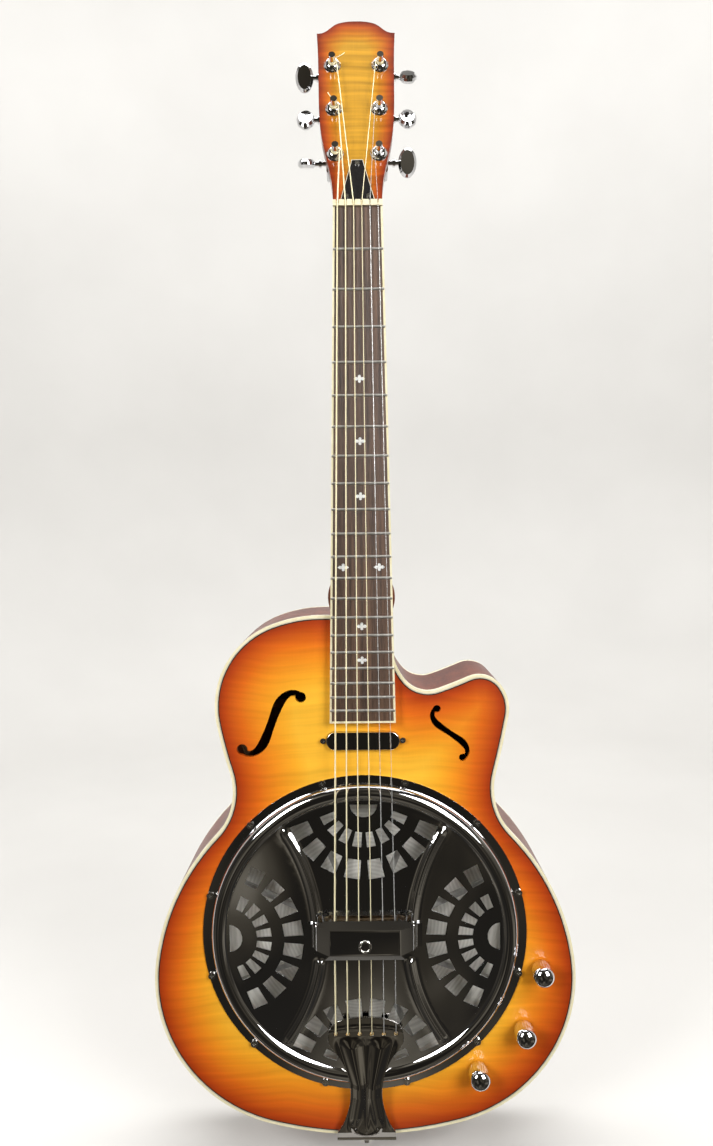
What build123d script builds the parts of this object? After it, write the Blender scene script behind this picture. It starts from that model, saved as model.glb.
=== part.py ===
from build123d import *
import os
from math import cos, radians, sin

# Resonator guitar with a cutaway wooden body, a spun cone under a pierced coverplate and a bolted neck.
# Millimetres. +X is the treble side, the front faces -Y and +Z runs to the headstock.
# The origin is on the centre line at the fretboard edge of the nut. The soundboard's face is at Y = 0.

# ---- driving dimensions ----
SCALE = 643.0
FRET_COUNT = 20
NUT_WIDTH = 43.0
WIDTH_AT_12 = 54.6
BOARD_FACE = -8.0
BOARD_END = -452.0
BOARD_BINDING = 1.8
BODY_BOTTOM = -844.5
BODY_TOP = -355.5
BODY_DEPTH = 82.0
TOP_THICK = 4.0
SIDE_THICK = 3.2
BINDING = 2.0
BINDING_DEPTH = 6.0
PURFLING = 1.0
PURFLING_DEPTH = 1.5
LINING = 9.0
LINING_DEPTH = 10.0
# arcs of the outline from the bottom centre: (radius, sweep), a negative sweep is a hollow
LOWER_BOUT = [(348.0, 14.75), (142.2, 52.7), (142.8, 30.75), (213.7, 35.55)]
BASS_BOUT = [(61.0, -61.0), (378.0, 6.9), (80.2, 80.35), (130.6, 20.0)]
TREBLE_BOUT = [
    (61.0, -57.9), (818.0, 3.7), (36.5, 46.2), (24.3, 77.5), (409.0, -4.2), (26.8, -68.6), (50.5, -40.45),
]
NECK_SIDE = 27.5
PLATE_Z = -650.5
PLATE_R = 149.0
SCREW_RING = 146.5
CONE_R = 134.0
WELL_HOLE = 128.0
WELL_R = 153.0
FAN_CENTRE = 127.0
SADDLE_Z = -647.0
SADDLE_Y = -14.2
STRING_RADII = [0.68, 0.56, 0.44, 0.34, 0.22, 0.17]
NUT_SPACING = 7.0
SADDLE_SPACING = 11.0
NUT_STRING_Y = -9.6
NUT_THICK = 5.0
HEAD_ANGLE = 14.0
HEAD_Y = -1.0
HEAD_THICK = 13.0
VENEER = 1.2
POSTS = [(19.2, 48.6), (20.2, 94.0), (21.5, 138.5)]
KNOB_TURNS = [85, 50, 5, 65, 50, 5]
WORM_OFFSET = 6.5
WORM_DEPTH = 21.0
HOUSING_TOP = HEAD_THICK + VENEER
CONTROLS = [(162.0, -685.0), (146.0, -742.5), (104.0, -782.0)]
PICKUP_Z = -469.5
JACK_Y = 41.0
NECK_BOLTS = (25.0, 58.0)
JACK_Z = -694.0
STRAP_Y = 13.0
HEEL_BUTTON = 66.0
JACK_X = 194.8
TAIL_TOP = -722.0

HEAD = Plane(
    origin=(0, HEAD_Y, NUT_THICK),
    x_dir=(1, 0, 0),
    z_dir=(0, -cos(radians(HEAD_ANGLE)), sin(radians(HEAD_ANGLE))),
)
PLATE_AXIS = Axis((0, 0, PLATE_Z), (0, 1, 0))
os.makedirs("parts", exist_ok=True)


def fret_z(number):
    return -SCALE * (1 - 2 ** (-number / 12))


def half_width(z):
    """Half the fretboard's width at a height."""
    return NUT_WIDTH / 2 + (WIDTH_AT_12 - NUT_WIDTH) / 2 * z / fret_z(12)


def front(y):
    """Drawing plane at a depth, whose normal points out of the front."""
    return Plane.XZ.offset(-y)


def front_at(x, y, z):
    """Plane facing out of the front, centred on a point."""
    return Plane(origin=(x, y, z), x_dir=(1, 0, 0), z_dir=(0, -1, 0))


def layer(y_front, y_back, draw, mode=Mode.ADD):
    """Slab between two depths, with the outline that draw() makes."""
    with BuildSketch(front(y_back)) as outline:
        draw()
    extrude(outline.sketch, amount=y_back - y_front, mode=mode)


def save(piece, name):
    piece.part.label = name
    export_step(piece.part, f"parts/{name}.step")


def body_face(inset=0.0, mode=Mode.ADD):
    """Face inside the body's outline, moved in by inset."""
    with BuildLine() as edge:
        start = (0, BODY_BOTTOM + inset)
        ends = []
        for side, arcs in ((1, LOWER_BOUT + TREBLE_BOUT), (-1, LOWER_BOUT + BASS_BOUT)):
            point, heading = Vector(*start), Vector(side, 0)
            for radius, sweep in arcs:
                bend = radius - inset if sweep > 0 else radius + inset
                arc = JernArc(point, heading, bend, side * sweep)
                point, heading = arc @ 1, arc % 1
            ends.append(point)
        corner = Vector(ends[0].X, ends[1].Y)
        Line(ends[0], corner)
        Line(corner, ends[1])
    make_face(edge.edges(), mode=mode)


def body_ring(outer, inner):
    body_face(outer)
    body_face(inner, mode=Mode.SUBTRACT)


def rect(x, z, width, height, mode=Mode.ADD):
    with Locations((x, z)):
        Rectangle(width, height, mode=mode)


def rod(start, end, radius, mode=Mode.ADD):
    """Round bar between two points."""
    run = Vector(*end) - Vector(*start)
    with BuildSketch(Plane(origin=start, z_dir=run)) as section:
        Circle(radius)
    extrude(section.sketch, amount=run.length, mode=mode)


def screw(place, head_radius, head_height, shank_radius, length):
    """Dome-headed screw on a plane whose normal points away from the work."""
    with BuildSketch(place) as head:
        Circle(head_radius)
    extrude(head.sketch, amount=head_height)
    with BuildSketch(place) as shank:
        Circle(shank_radius)
    extrude(shank.sketch, amount=-length)
    with BuildSketch(place.offset(head_height)) as slot:
        Rectangle(head_radius * 1.1, head_radius * 0.25)
        Rectangle(head_radius * 0.25, head_radius * 1.1)
    extrude(slot.sketch, amount=-head_height * 0.6, mode=Mode.SUBTRACT)


def ring_points(radius, count, start):
    for step in range(count):
        angle = radians(start + 360 / count * step)
        yield radius * cos(angle), PLATE_Z + radius * sin(angle)


# ---- sound holes: a swelling S between two round eyes ----
def sound_hole(x, z, length, tilt):
    """S-shaped hole about (x, z); length is eye to eye, tilt turns it from upright."""
    half = length / 2

    def spot(across, along):
        return Vector(across * half, along * half).rotate(Axis.Z, tilt) + Vector(x, z)

    # one edge of the S from its upper eye down to its tail; the other edge is this one turned half round
    edge_points = [
        (0.13, 0.96), (-0.13, 0.84), (-0.24, 0.5), (-0.13, 0.1), (0.02, -0.45), (0.01, -0.76), (-0.13, -0.82),
    ]
    with BuildLine() as edge:
        for way in (1, -1):
            Spline(*[spot(way * across, way * along) for across, along in edge_points])
            across, along = edge_points[-1]
            first_across, first_along = edge_points[0]
            Line(spot(way * across, way * along), spot(-way * first_across, -way * first_along))
    make_face(edge.edges(), mode=Mode.SUBTRACT)
    for way in (1, -1):
        with Locations(spot(way * 0.16, way * 0.86)):
            Circle(0.12 * half, mode=Mode.SUBTRACT)


def plate_screw_holes(radius):
    for x, z in ring_points(SCREW_RING, 12, 15):
        with Locations((x, z)):
            Circle(radius, mode=Mode.SUBTRACT)


def soundboard_face():
    body_face(BINDING)
    with Locations((0, PLATE_Z)):
        Circle(CONE_R + 1.0, mode=Mode.SUBTRACT)
    plate_screw_holes(1.5)
    for x, z in CONTROLS:
        with Locations((x, z)):
            Circle(4.7, mode=Mode.SUBTRACT)
    with Locations((0, PICKUP_Z)):
        SlotOverall(66.8, 16.7, mode=Mode.SUBTRACT)
    for x in (-36.2, 36.2):
        with Locations((x, PICKUP_Z)):
            Circle(1.3, mode=Mode.SUBTRACT)
    sound_hole(-83, -453.5, 82, -38)
    sound_hole(79, -464, 58, 38)


def purfling_channel():
    body_ring(BINDING, BINDING + 2 * PURFLING)


with BuildPart() as soundboard:
    layer(0, TOP_THICK, soundboard_face)
    layer(0, PURFLING_DEPTH, purfling_channel, mode=Mode.SUBTRACT)
save(soundboard, "soundboard")

with BuildPart() as purfling_light:
    layer(0, PURFLING_DEPTH, lambda: body_ring(BINDING, BINDING + PURFLING))
save(purfling_light, "purfling_light")

with BuildPart() as purfling_dark:
    layer(0, PURFLING_DEPTH, lambda: body_ring(BINDING + PURFLING, BINDING + 2 * PURFLING))
save(purfling_dark, "purfling_dark")

with BuildPart() as binding_top:
    layer(0, BINDING_DEPTH, lambda: body_ring(0, BINDING))
save(binding_top, "binding_top")

with BuildPart() as binding_back:
    layer(BODY_DEPTH - BINDING_DEPTH, BODY_DEPTH, lambda: body_ring(0, BINDING))
save(binding_back, "binding_back")

with BuildPart() as back_plate:
    layer(BODY_DEPTH - TOP_THICK, BODY_DEPTH, lambda: body_face(BINDING))
save(back_plate, "back_plate")

# ---- sides: two bent strips that meet at the tail and at the neck ----
for name, half in (("side_treble", Keep.TOP), ("side_bass", Keep.BOTTOM)):
    with BuildPart() as side:
        layer(TOP_THICK, BODY_DEPTH - TOP_THICK, lambda: body_ring(0, SIDE_THICK))
        layer(0, BINDING_DEPTH, lambda: body_ring(0, BINDING), mode=Mode.SUBTRACT)
        layer(BODY_DEPTH - BINDING_DEPTH, BODY_DEPTH, lambda: body_ring(0, BINDING), mode=Mode.SUBTRACT)
        split(bisect_by=Plane.YZ, keep=half)
        rod((0, STRAP_Y, -830), (0, STRAP_Y, -850), 2.0, mode=Mode.SUBTRACT)
        for y in NECK_BOLTS:
            rod((0, y, -340), (0, y, -380), 3.2, mode=Mode.SUBTRACT)
        if name == "side_treble":
            rod((JACK_X - 20, JACK_Y, JACK_Z), (JACK_X + 5, JACK_Y, JACK_Z), 4.7, mode=Mode.SUBTRACT)
    save(side, name)

# ---- blocks and linings ----
NECK_BLOCK = (-9.0, -383.0, 68.0, 56.0)
TAIL_BLOCK = (0.0, -832.0, 64.0, 26.0)
BLOCKS = (NECK_BLOCK, TAIL_BLOCK)


def block_outline(place):
    rect(*place)
    body_face(SIDE_THICK, mode=Mode.INTERSECT)


with BuildPart() as end_blocks:
    for place in BLOCKS:
        layer(TOP_THICK, BODY_DEPTH - TOP_THICK, lambda: block_outline(place))
    for y in NECK_BOLTS:
        rod((0, y, -340), (0, y, -420), 3.2, mode=Mode.SUBTRACT)
    rod((0, STRAP_Y, -800), (0, STRAP_Y, -850), 2.0, mode=Mode.SUBTRACT)
save(end_blocks, "end_blocks")


def lining_outline():
    body_ring(SIDE_THICK, SIDE_THICK + LINING - 2)
    for place in BLOCKS:
        rect(*place, mode=Mode.SUBTRACT)


with BuildPart() as linings:
    for y in (TOP_THICK, BODY_DEPTH - TOP_THICK - LINING_DEPTH):
        layer(y, y + LINING_DEPTH, lining_outline)
save(linings, "linings")


def brace_outline():
    body_face(SIDE_THICK + LINING - 2)
    with Locations((0, -450), (0, -570), (0, -700)):
        Rectangle(400, 9, mode=Mode.INTERSECT)


with BuildPart() as back_braces:
    layer(BODY_DEPTH - TOP_THICK - LINING_DEPTH, BODY_DEPTH - TOP_THICK, brace_outline)
save(back_braces, "back_braces")

# ---- sound well, cone, spider bridge, saddle ----
WELL_DEPTH = 28.0
LEDGE_Y = 9.0
with BuildPart() as soundwell:
    with BuildSketch(front(WELL_DEPTH)) as ring:
        with Locations((0, PLATE_Z)):
            Circle(WELL_R)
            Circle(WELL_HOLE, mode=Mode.SUBTRACT)
    extrude(ring.sketch, amount=WELL_DEPTH - TOP_THICK)
    with BuildSketch(front(LEDGE_Y)) as ledge:
        with Locations((0, PLATE_Z)):
            Circle(CONE_R + 1.0)
    extrude(ledge.sketch, amount=LEDGE_Y, mode=Mode.SUBTRACT)
    for x, z in ring_points(SCREW_RING, 12, 15):
        rod((x, 0, z), (x, 16, z), 1.5, mode=Mode.SUBTRACT)
save(soundwell, "soundwell")

ROUND_PROFILE = Plane.XY.offset(PLATE_Z)
SHEET = 0.9
CONE_LINE = [(CONE_R, 8.1), (126.2, 8.1), (117.0, 27.0), (112.0, 29.0), (14.0, 12.5), (3.2, 11.5)]
CONE_BACK = [(CONE_R, LEDGE_Y), (127.3, LEDGE_Y), (117.9, 27.9)]
with BuildPart() as resonator_cone:
    with BuildSketch(ROUND_PROFILE) as section:
        with BuildLine() as edge:
            back = CONE_BACK + [(r, y + SHEET) for r, y in CONE_LINE[3:]]
            Polyline(*CONE_LINE, *reversed(back), close=True)
        make_face(edge.edges())
    revolve(axis=PLATE_AXIS)
    rod((0, 9, PLATE_Z - 6), (0, 16, PLATE_Z - 6), 1.6, mode=Mode.SUBTRACT)
save(resonator_cone, "resonator_cone")

with BuildPart() as spider_bridge:
    with BuildSketch(ROUND_PROFILE) as hub:
        with Locations((10.0, 1.0)):
            Rectangle(20 - 3.2, 8.0)
    revolve(axis=PLATE_AXIS)
    for step in range(8):
        turn = 22.5 + 45 * step
        leg_plane = Plane(
            origin=(0, 0, PLATE_Z), x_dir=(cos(radians(turn)), 0, sin(radians(turn))),
            z_dir=(-sin(radians(turn)), 0, cos(radians(turn))),
        )
        down = 1 if leg_plane.y_dir.Y > 0 else -1
        with BuildSketch(leg_plane) as leg:
            with BuildLine() as edge:
                arm = ((17, -2), (40, -3), (130, 5), (131, 7.9), (128, 7.9), (60, 4), (17, 4))
                Polyline(*[(r, down * y) for r, y in arm],
                         close=True)
            make_face(edge.edges())
        extrude(leg.sketch, amount=2.5, both=True)
    with BuildSketch(front(0)) as slot:
        rect(0, SADDLE_Z, 66, 4.0)
    extrude(slot.sketch, amount=8, mode=Mode.SUBTRACT)
    with BuildSketch(front(12)) as bore:
        with Locations((0, PLATE_Z - 6)):
            Circle(1.6)
    extrude(bore.sketch, amount=30, mode=Mode.SUBTRACT)
save(spider_bridge, "spider_bridge")


def string_x(number, spacing):
    return (number - 2.5) * spacing


with BuildPart() as saddle:
    layer(SADDLE_Y, 0, lambda: rect(0, SADDLE_Z, 60, 4.0))
    layer(-3, 0, lambda: rect(0, SADDLE_Z, 60, 4.0))
    for number, radius in enumerate(STRING_RADII):
        layer(SADDLE_Y - 1, SADDLE_Y + radius + 0.03,
              lambda: rect(string_x(number, SADDLE_SPACING), SADDLE_Z, 2 * radius + 0.1, 6),
              mode=Mode.SUBTRACT)
save(saddle, "saddle")

# ---- coverplate: flat flange, raised bead and low dome, pierced by four fans ----
COVER = 1.2
COVER_LINE = [(0, -11.2), (60, -10.4), (100, -8.4), (127, -6.2)]
BEAD_LINE = [(127, -6.2), (135, -9.0), (141.6, -1.2)]
RIDGE_OPENING = (0, SADDLE_Z, 64, 8)


def cover_section():
    with BuildLine() as edge:
        for shift in (0, COVER):
            Spline(*[(r, y + shift) for r, y in COVER_LINE], tangents=((1, 0), (1, 0.06)))
            ThreePointArc(*[(r, y + shift) for r, y in BEAD_LINE])
        Line((0, COVER_LINE[0][1]), (0, COVER_LINE[0][1] + COVER))
        Line(BEAD_LINE[-1], (PLATE_R, -1.2))
        Line((PLATE_R, -1.2), (PLATE_R, 0))
        Line((PLATE_R, 0), (BEAD_LINE[-1][0], BEAD_LINE[-1][1] + COVER))
    make_face(edge.edges())


def fan_holes():
    for quarter in range(4):
        for radius, half_long, inner, outer in ((35.3, 6.7, 3.0, 4.1), (62.3, 8.75, 5.75, 7.25)):
            for step in range(8):
                spread = -64.3 + 18.37 * step
                base = Vector(FAN_CENTRE, 0) + Vector(radius, 0).rotate(Axis.Z, 180 + spread)
                corners = ((-half_long, -inner), (half_long, -outer), (half_long, outer), (-half_long, inner))
                points = [Vector(*corner).rotate(Axis.Z, 180 + spread) + base for corner in corners]
                points = [point.rotate(Axis.Z, 90 * quarter) + Vector(0, PLATE_Z) for point in points]
                with BuildLine() as edge:
                    Polyline(*points, close=True)
                make_face(edge.edges())
        with BuildLine() as edge:
            ends = [Vector(x, z).rotate(Axis.Z, 90 * quarter) + Vector(0, PLATE_Z)
                    for x, z in ((123.5, -12.5), (112.0, 0), (123.5, 12.5))]
            ThreePointArc(*ends)
            Line(ends[2], ends[0])
        make_face(edge.edges())
    rect(*RIDGE_OPENING)


with BuildPart() as coverplate:
    with BuildSketch(ROUND_PROFILE) as section:
        cover_section()
    revolve(axis=PLATE_AXIS)
    layer(-20, 3, fan_holes, mode=Mode.SUBTRACT)
    for x, z in ring_points(SCREW_RING, 12, 15):
        rod((x, -3, z), (x, 3, z), 1.5, mode=Mode.SUBTRACT)
save(coverplate, "coverplate")

with BuildPart() as coverplate_screws:
    for x, z in ring_points(SCREW_RING, 12, 15):
        screw(front_at(x, -1.2, z), 3.2, 1.6, 1.5, 13)
save(coverplate_screws, "coverplate_screws")

# ---- palm rest: a folded bridge over the saddle, with its two feet on the coverplate ----
REST_TOP, REST_BOTTOM = -634.5, -656.3
REST_Y = -27.5
REST_HOLE_Z = -648.5
REST_SHEET = 1.2
REST_HALF = 31.0
REST_SIDE = [(52.0, -12.6), (47.0, -12.6), (44.0, -19.0), (REST_HALF, REST_Y)]
REST_UNDER = [(52.0, -11.4), (46.2, -11.4), (43.1, -18.2), (REST_HALF - 0.3, REST_Y + REST_SHEET)]
NUT_FLAP = [(REST_HALF, 0), (44.0, 4.5), (37.0, 9.2)]
TAIL_FLAP = [(REST_HALF, 0), (36.0, 7.0)]


def both_ways(points):
    """Points of one side, then the same mirrored and in turned order."""
    return points + [(-x, y) for x, y in reversed(points)]


with BuildPart() as palm_rest:
    with BuildSketch(Plane.XY.offset(REST_BOTTOM)) as section:
        with BuildLine() as edge:
            Polyline(*both_ways(REST_SIDE), *reversed(both_ways(REST_UNDER)), close=True)
        make_face(edge.edges())
    extrude(section.sketch, amount=REST_TOP - REST_BOTTOM)
    # the nut-side edge is folded down at 45 degrees, the tail-side one at 30
    nut_plane = Plane(origin=(0, REST_Y, REST_TOP), x_dir=(1, 0, 0), z_dir=(0, -1, 1))
    tail_plane = Plane(origin=(0, REST_Y, REST_BOTTOM), x_dir=(1, 0, 0), z_dir=(0, 6.1, 3.5))
    for plane, outline, depth in ((nut_plane, NUT_FLAP, -REST_SHEET), (tail_plane, TAIL_FLAP, REST_SHEET)):
        with BuildSketch(plane) as flap:
            with BuildLine() as edge:
                Polyline(*both_ways(outline), close=True)
            make_face(edge.edges())
        extrude(flap.sketch, amount=depth)
    rod((0, REST_Y + 2.5, REST_HOLE_Z), (0, REST_Y - 0.8, REST_HOLE_Z), 6.0)
    rod((0, REST_Y + 4, REST_HOLE_Z), (0, REST_Y - 2, REST_HOLE_Z), 3.8, mode=Mode.SUBTRACT)
save(palm_rest, "palm_rest")

with BuildPart() as tension_screw:
    screw(front_at(0, -3, PLATE_Z - 6), 2.6, 1.4, 1.5, 20)
save(tension_screw, "tension_screw")

# ---- tailpiece: stamped plate that climbs from the end of the body to the string holes ----
TAIL_LINE = [(-13.9, -721.0), (-13.6, -745.0), (-13.0, -790.0), (-6.0, -838.0), (-2.2, -845.4)]
TAIL_SHEET = 1.8
HOLE_Z = -737.5
TAIL_STRING_Y = -14.75
HALF_TAIL = [(0, -721.5), (18, -723.5), (29, -728), (34.5, -740), (33.5, -748), (27, -757),
             (19, -772), (14.8, -790), (15.2, -806), (19, -822), (27, -838), (27.5, -847)]


def tail_outline():
    with BuildLine() as edge:
        Spline(*HALF_TAIL[:4])
        Spline(*HALF_TAIL[3:11])
        Line(HALF_TAIL[10], HALF_TAIL[11])
        Line(HALF_TAIL[11], (-27.5, -847))
        Line((-27.5, -847), (-27, -838))
        Spline(*[(-x, z) for x, z in reversed(HALF_TAIL[3:11])])
        Spline(*[(-x, z) for x, z in reversed(HALF_TAIL[:4])])
    make_face(edge.edges())
    for number in range(6):
        with Locations((string_x(number, SADDLE_SPACING), HOLE_Z)):
            Circle(1.9, mode=Mode.SUBTRACT)


with BuildPart() as tailpiece:
    with BuildSketch(Plane.YZ) as bend:
        with BuildLine() as edge:
            back = [(y + TAIL_SHEET, z) for y, z in TAIL_LINE[:-1]]
            fold = [(-2.2, -848.5), (24, -848.5), (24, -846.5), (-0.4, -846.5)]
            Polyline(*TAIL_LINE, *fold, *reversed(back), close=True)
        make_face(edge.edges())
    extrude(bend.sketch, amount=36, both=True)
    layer(-20, 30, lambda: (tail_outline(), rect(0, -856, 55, 18)), mode=Mode.INTERSECT)
    rod((0, STRAP_Y, -840), (0, STRAP_Y, -850), 2.0, mode=Mode.SUBTRACT)
save(tailpiece, "tailpiece")

# ---- strings and their ball ends ----
def string_points(number):
    """Centre line of a string from its post, over the nut and the saddle, to the tailpiece."""
    post_x, post_s = POSTS[min(number, 5 - number)]
    side = -1 if number < 3 else 1
    post = HEAD.from_local_coords(Vector(side * (post_x - 3.9), post_s, 5.5))
    x_nut, x_saddle = string_x(number, NUT_SPACING), string_x(number, SADDLE_SPACING)
    return [tuple(post), (x_nut, NUT_STRING_Y, 2.5), (x_saddle, SADDLE_Y, SADDLE_Z),
            (x_saddle, TAIL_STRING_Y, -725.0), (x_saddle, TAIL_STRING_Y, HOLE_Z), (x_saddle, -12.1, HOLE_Z)]


def string_body(number):
    points = string_points(number)
    with BuildLine() as route:
        FilletPolyline(*points, radius=(3.0, 3.0, 3.0, 1.2))
    start = Plane(origin=points[0], z_dir=Vector(*points[1]) - Vector(*points[0]))
    with BuildSketch(start) as section:
        Circle(STRING_RADII[number])
    sweep(section.sketch, path=route.line)


for name, numbers in (("strings_wound", range(4)), ("strings_plain", range(4, 6))):
    with BuildPart() as strings:
        for number in numbers:
            string_body(number)
    save(strings, name)

with BuildPart() as string_ball_ends:
    for number in range(6):
        x = string_x(number, SADDLE_SPACING)
        rod((x, -11.7, HOLE_Z), (x, -9.7, HOLE_Z), 2.2)
save(string_ball_ends, "string_ball_ends")

# ---- neck, truss rod, fretboard, frets, inlays, nut ----
def neck_section(z, depth):
    """Rounded D under the fretboard at a height."""
    half = half_width(z) - 0.2
    with BuildSketch(Plane.XY.offset(z)) as section:
        Ellipse(half, depth)
        with Locations((0, -depth)):
            Rectangle(2 * half + 2, 2 * depth, mode=Mode.SUBTRACT)
    return section.sketch


NECK_TOP_DEPTH, NECK_END_DEPTH = 14.5, 17.0
HEAD_LENGTH = 185.0
HEAD_SIDE = [(21.6, 0), (23.7, 28.0), (31.0, 64.0), (33.9, 112.0), (35.5, 172.5)]
HEAD_CROWN = [(35.5, 172.5), (26, 175.5), (19.2, 181.3), (10, 184.4), (0, HEAD_LENGTH)]


def head_outline():
    with BuildLine() as edge:
        for side in (1, -1):
            Spline(*[(side * x, s) for x, s in HEAD_SIDE])
            Spline(*[(side * x, s) for x, s in HEAD_CROWN])
        Line((-HEAD_SIDE[0][0], 0), (HEAD_SIDE[0][0], 0))
    make_face(edge.edges())
    for x, s in POSTS:
        with Locations((x, s), (-x, s)):
            Circle(4.4, mode=Mode.SUBTRACT)


def truss_mouth(mode=Mode.ADD):
    with Locations((0, 14)):
        SlotOverall(30, 9, rotation=90, mode=mode)


with BuildPart() as neck:
    loft([neck_section(NUT_THICK - 1, NECK_TOP_DEPTH), neck_section(BODY_TOP, NECK_END_DEPTH)])
    with BuildSketch(HEAD.offset(-VENEER - HEAD_THICK)) as blank:
        head_outline()
        truss_mouth(mode=Mode.SUBTRACT)
    extrude(blank.sketch, amount=HEAD_THICK)
    # heel: narrows towards the back of the body
    heel_faces = []
    for y, half, length in ((6, 26.0, 46.0), (40, 19.0, 24.0), (72, 14.0, 15.0)):
        with BuildSketch(front(y)) as cut:
            with BuildLine() as edge:
                Line((-half, BODY_TOP), (half, BODY_TOP))
                ThreePointArc((half, BODY_TOP), (0, BODY_TOP + length), (-half, BODY_TOP))
            make_face(edge.edges())
        heel_faces.append(cut.sketch)
    loft(heel_faces)
    rod((0, 6, -350), (0, 6, 30), 3.3, mode=Mode.SUBTRACT)
    for y in NECK_BOLTS:
        rod((0, y, BODY_TOP - 1), (0, y, BODY_TOP + 11), 2.9, mode=Mode.SUBTRACT)
    rod((0, HEEL_BUTTON, BODY_TOP + 4), (0, HEEL_BUTTON, BODY_TOP + 30), 2.0, mode=Mode.SUBTRACT)
save(neck, "neck")

with BuildPart() as headstock_veneer:
    with BuildSketch(HEAD.offset(-VENEER)) as face:
        head_outline()
        truss_mouth(mode=Mode.SUBTRACT)
    extrude(face.sketch, amount=VENEER)
save(headstock_veneer, "headstock_veneer")

with BuildPart() as truss_rod:
    rod((0, 6, -348), (0, 6, 8), 3.0)
    with BuildSketch(Plane.XY.offset(8)) as nut_hex:
        with Locations((0, 6)):
            RegularPolygon(3.2, 6)
    extrude(nut_hex.sketch, amount=9)
save(truss_rod, "truss_rod")

with BuildPart() as neck_bolts:
    for y in NECK_BOLTS:
        rod((0, y, BODY_TOP + 11), (0, y, -419), 2.9)
        rod((0, y, -412), (0, y, -418), 6.0)
save(neck_bolts, "neck_bolts")


def board_face(inset, end):
    with BuildLine() as edge:
        top, low = half_width(0) - inset, half_width(end) - inset
        Polyline((-top, 0), (top, 0), (low, end), (-low, end), close=True)
    make_face(edge.edges())


FRET_SLOT = 0.6
FRET_TANG = 1.8
CROWN_WIDTH, CROWN_HEIGHT = 2.4, 1.1
BOARD_INNER = BOARD_END + BOARD_BINDING
INLAY_FRETS = {5: (0,), 7: (0,), 9: (0,), 12: (-16, 16), 15: (0,), 17: (0,)}
INLAY_THICK = 1.2


def inlay_shapes():
    for fret, places in INLAY_FRETS.items():
        middle = (fret_z(fret - 1) + fret_z(fret)) / 2
        for x in places:
            with Locations((x, middle)):
                Circle(1.9)
            with Locations((x - 2.7, middle), (x + 2.7, middle)):
                Circle(1.5)
            with Locations((x, middle - 2.1), (x, middle + 2.1)):
                Circle(1.3)
            rect(x, middle, 9.6, 0.9)


with BuildPart() as fretboard:
    layer(BOARD_FACE, 0, lambda: board_face(BOARD_BINDING, BOARD_INNER))
    for number in range(1, FRET_COUNT + 1):
        layer(BOARD_FACE, BOARD_FACE + FRET_TANG, lambda: rect(0, fret_z(number), 70, FRET_SLOT),
              mode=Mode.SUBTRACT)
    layer(BOARD_FACE, BOARD_FACE + INLAY_THICK, inlay_shapes, mode=Mode.SUBTRACT)
save(fretboard, "fretboard")

with BuildPart() as fret_inlays:
    layer(BOARD_FACE, BOARD_FACE + INLAY_THICK, inlay_shapes)
save(fret_inlays, "fret_inlays")


def board_binding():
    board_face(0, BOARD_END)
    with BuildLine() as edge:
        top, low = half_width(0) - BOARD_BINDING, half_width(BOARD_INNER) - BOARD_BINDING
        Polyline((-top, 0), (top, 0), (low, BOARD_INNER), (-low, BOARD_INNER), close=True)
    make_face(edge.edges(), mode=Mode.SUBTRACT)


with BuildPart() as fretboard_binding:
    layer(BOARD_FACE, 0, board_binding)
save(fretboard_binding, "fretboard_binding")

with BuildPart() as frets:
    for number in range(1, FRET_COUNT + 1):
        z = fret_z(number)
        inner = half_width(z) - BOARD_BINDING - 0.05
        with BuildSketch(Plane.YZ) as crown:
            with BuildLine() as edge:
                ThreePointArc((BOARD_FACE, z - CROWN_WIDTH / 2), (BOARD_FACE - CROWN_HEIGHT, z),
                              (BOARD_FACE, z + CROWN_WIDTH / 2))
                Line((BOARD_FACE, z + CROWN_WIDTH / 2), (BOARD_FACE, z - CROWN_WIDTH / 2))
            make_face(edge.edges())
        extrude(crown.sketch, amount=half_width(z) - 0.5, both=True)
        with BuildSketch(Plane.YZ) as tang:
            with Locations((BOARD_FACE + FRET_TANG / 2, z)):
                Rectangle(FRET_TANG, FRET_SLOT)
        extrude(tang.sketch, amount=inner, both=True)
save(frets, "frets")

with BuildPart() as nut:
    layer(-10.4, HEAD_Y - 0.3, lambda: rect(0, NUT_THICK / 2, NUT_WIDTH, NUT_THICK))
    for number, radius in enumerate(STRING_RADII):
        layer(-12, NUT_STRING_Y + radius + 0.12,
              lambda: rect(string_x(number, NUT_SPACING), NUT_THICK / 2, 2 * radius + 0.5, 8),
              mode=Mode.SUBTRACT)
        layer(-12, NUT_STRING_Y + radius + 1.2,
              lambda: rect(string_x(number, NUT_SPACING), NUT_THICK, 2 * radius + 1.2, 6),
              mode=Mode.SUBTRACT)
save(nut, "nut")

# ---- truss rod cover ----
COVER_SHAPE = [(15.3, 0.8), (13.0, 10.0), (5.6, 38.5), (5.2, 41.5)]
COVER_THICK = 2.0


def cover_shape():
    with BuildLine() as edge:
        Polyline(*COVER_SHAPE, *[(-x, s) for x, s in reversed(COVER_SHAPE)], close=True)
    make_face(edge.edges())


COVER_SCREWS = [(0, 37.5), (-9.8, 5.5), (9.8, 5.5)]
with BuildPart() as truss_rod_cover:
    with BuildSketch(HEAD) as shape:
        cover_shape()
        with Locations(*COVER_SCREWS):
            Circle(1.0, mode=Mode.SUBTRACT)
    extrude(shape.sketch, amount=COVER_THICK)
save(truss_rod_cover, "truss_rod_cover")


# ---- tuners: housing on the back, bushing on the face, post with its wheel, worm shaft and button ----
def at_head(x, s, out):
    """Plane on the headstock, out millimetres in front of its face."""
    return Plane(origin=HEAD.from_local_coords(Vector(x, s, out)), x_dir=HEAD.x_dir, z_dir=HEAD.z_dir)


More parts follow.
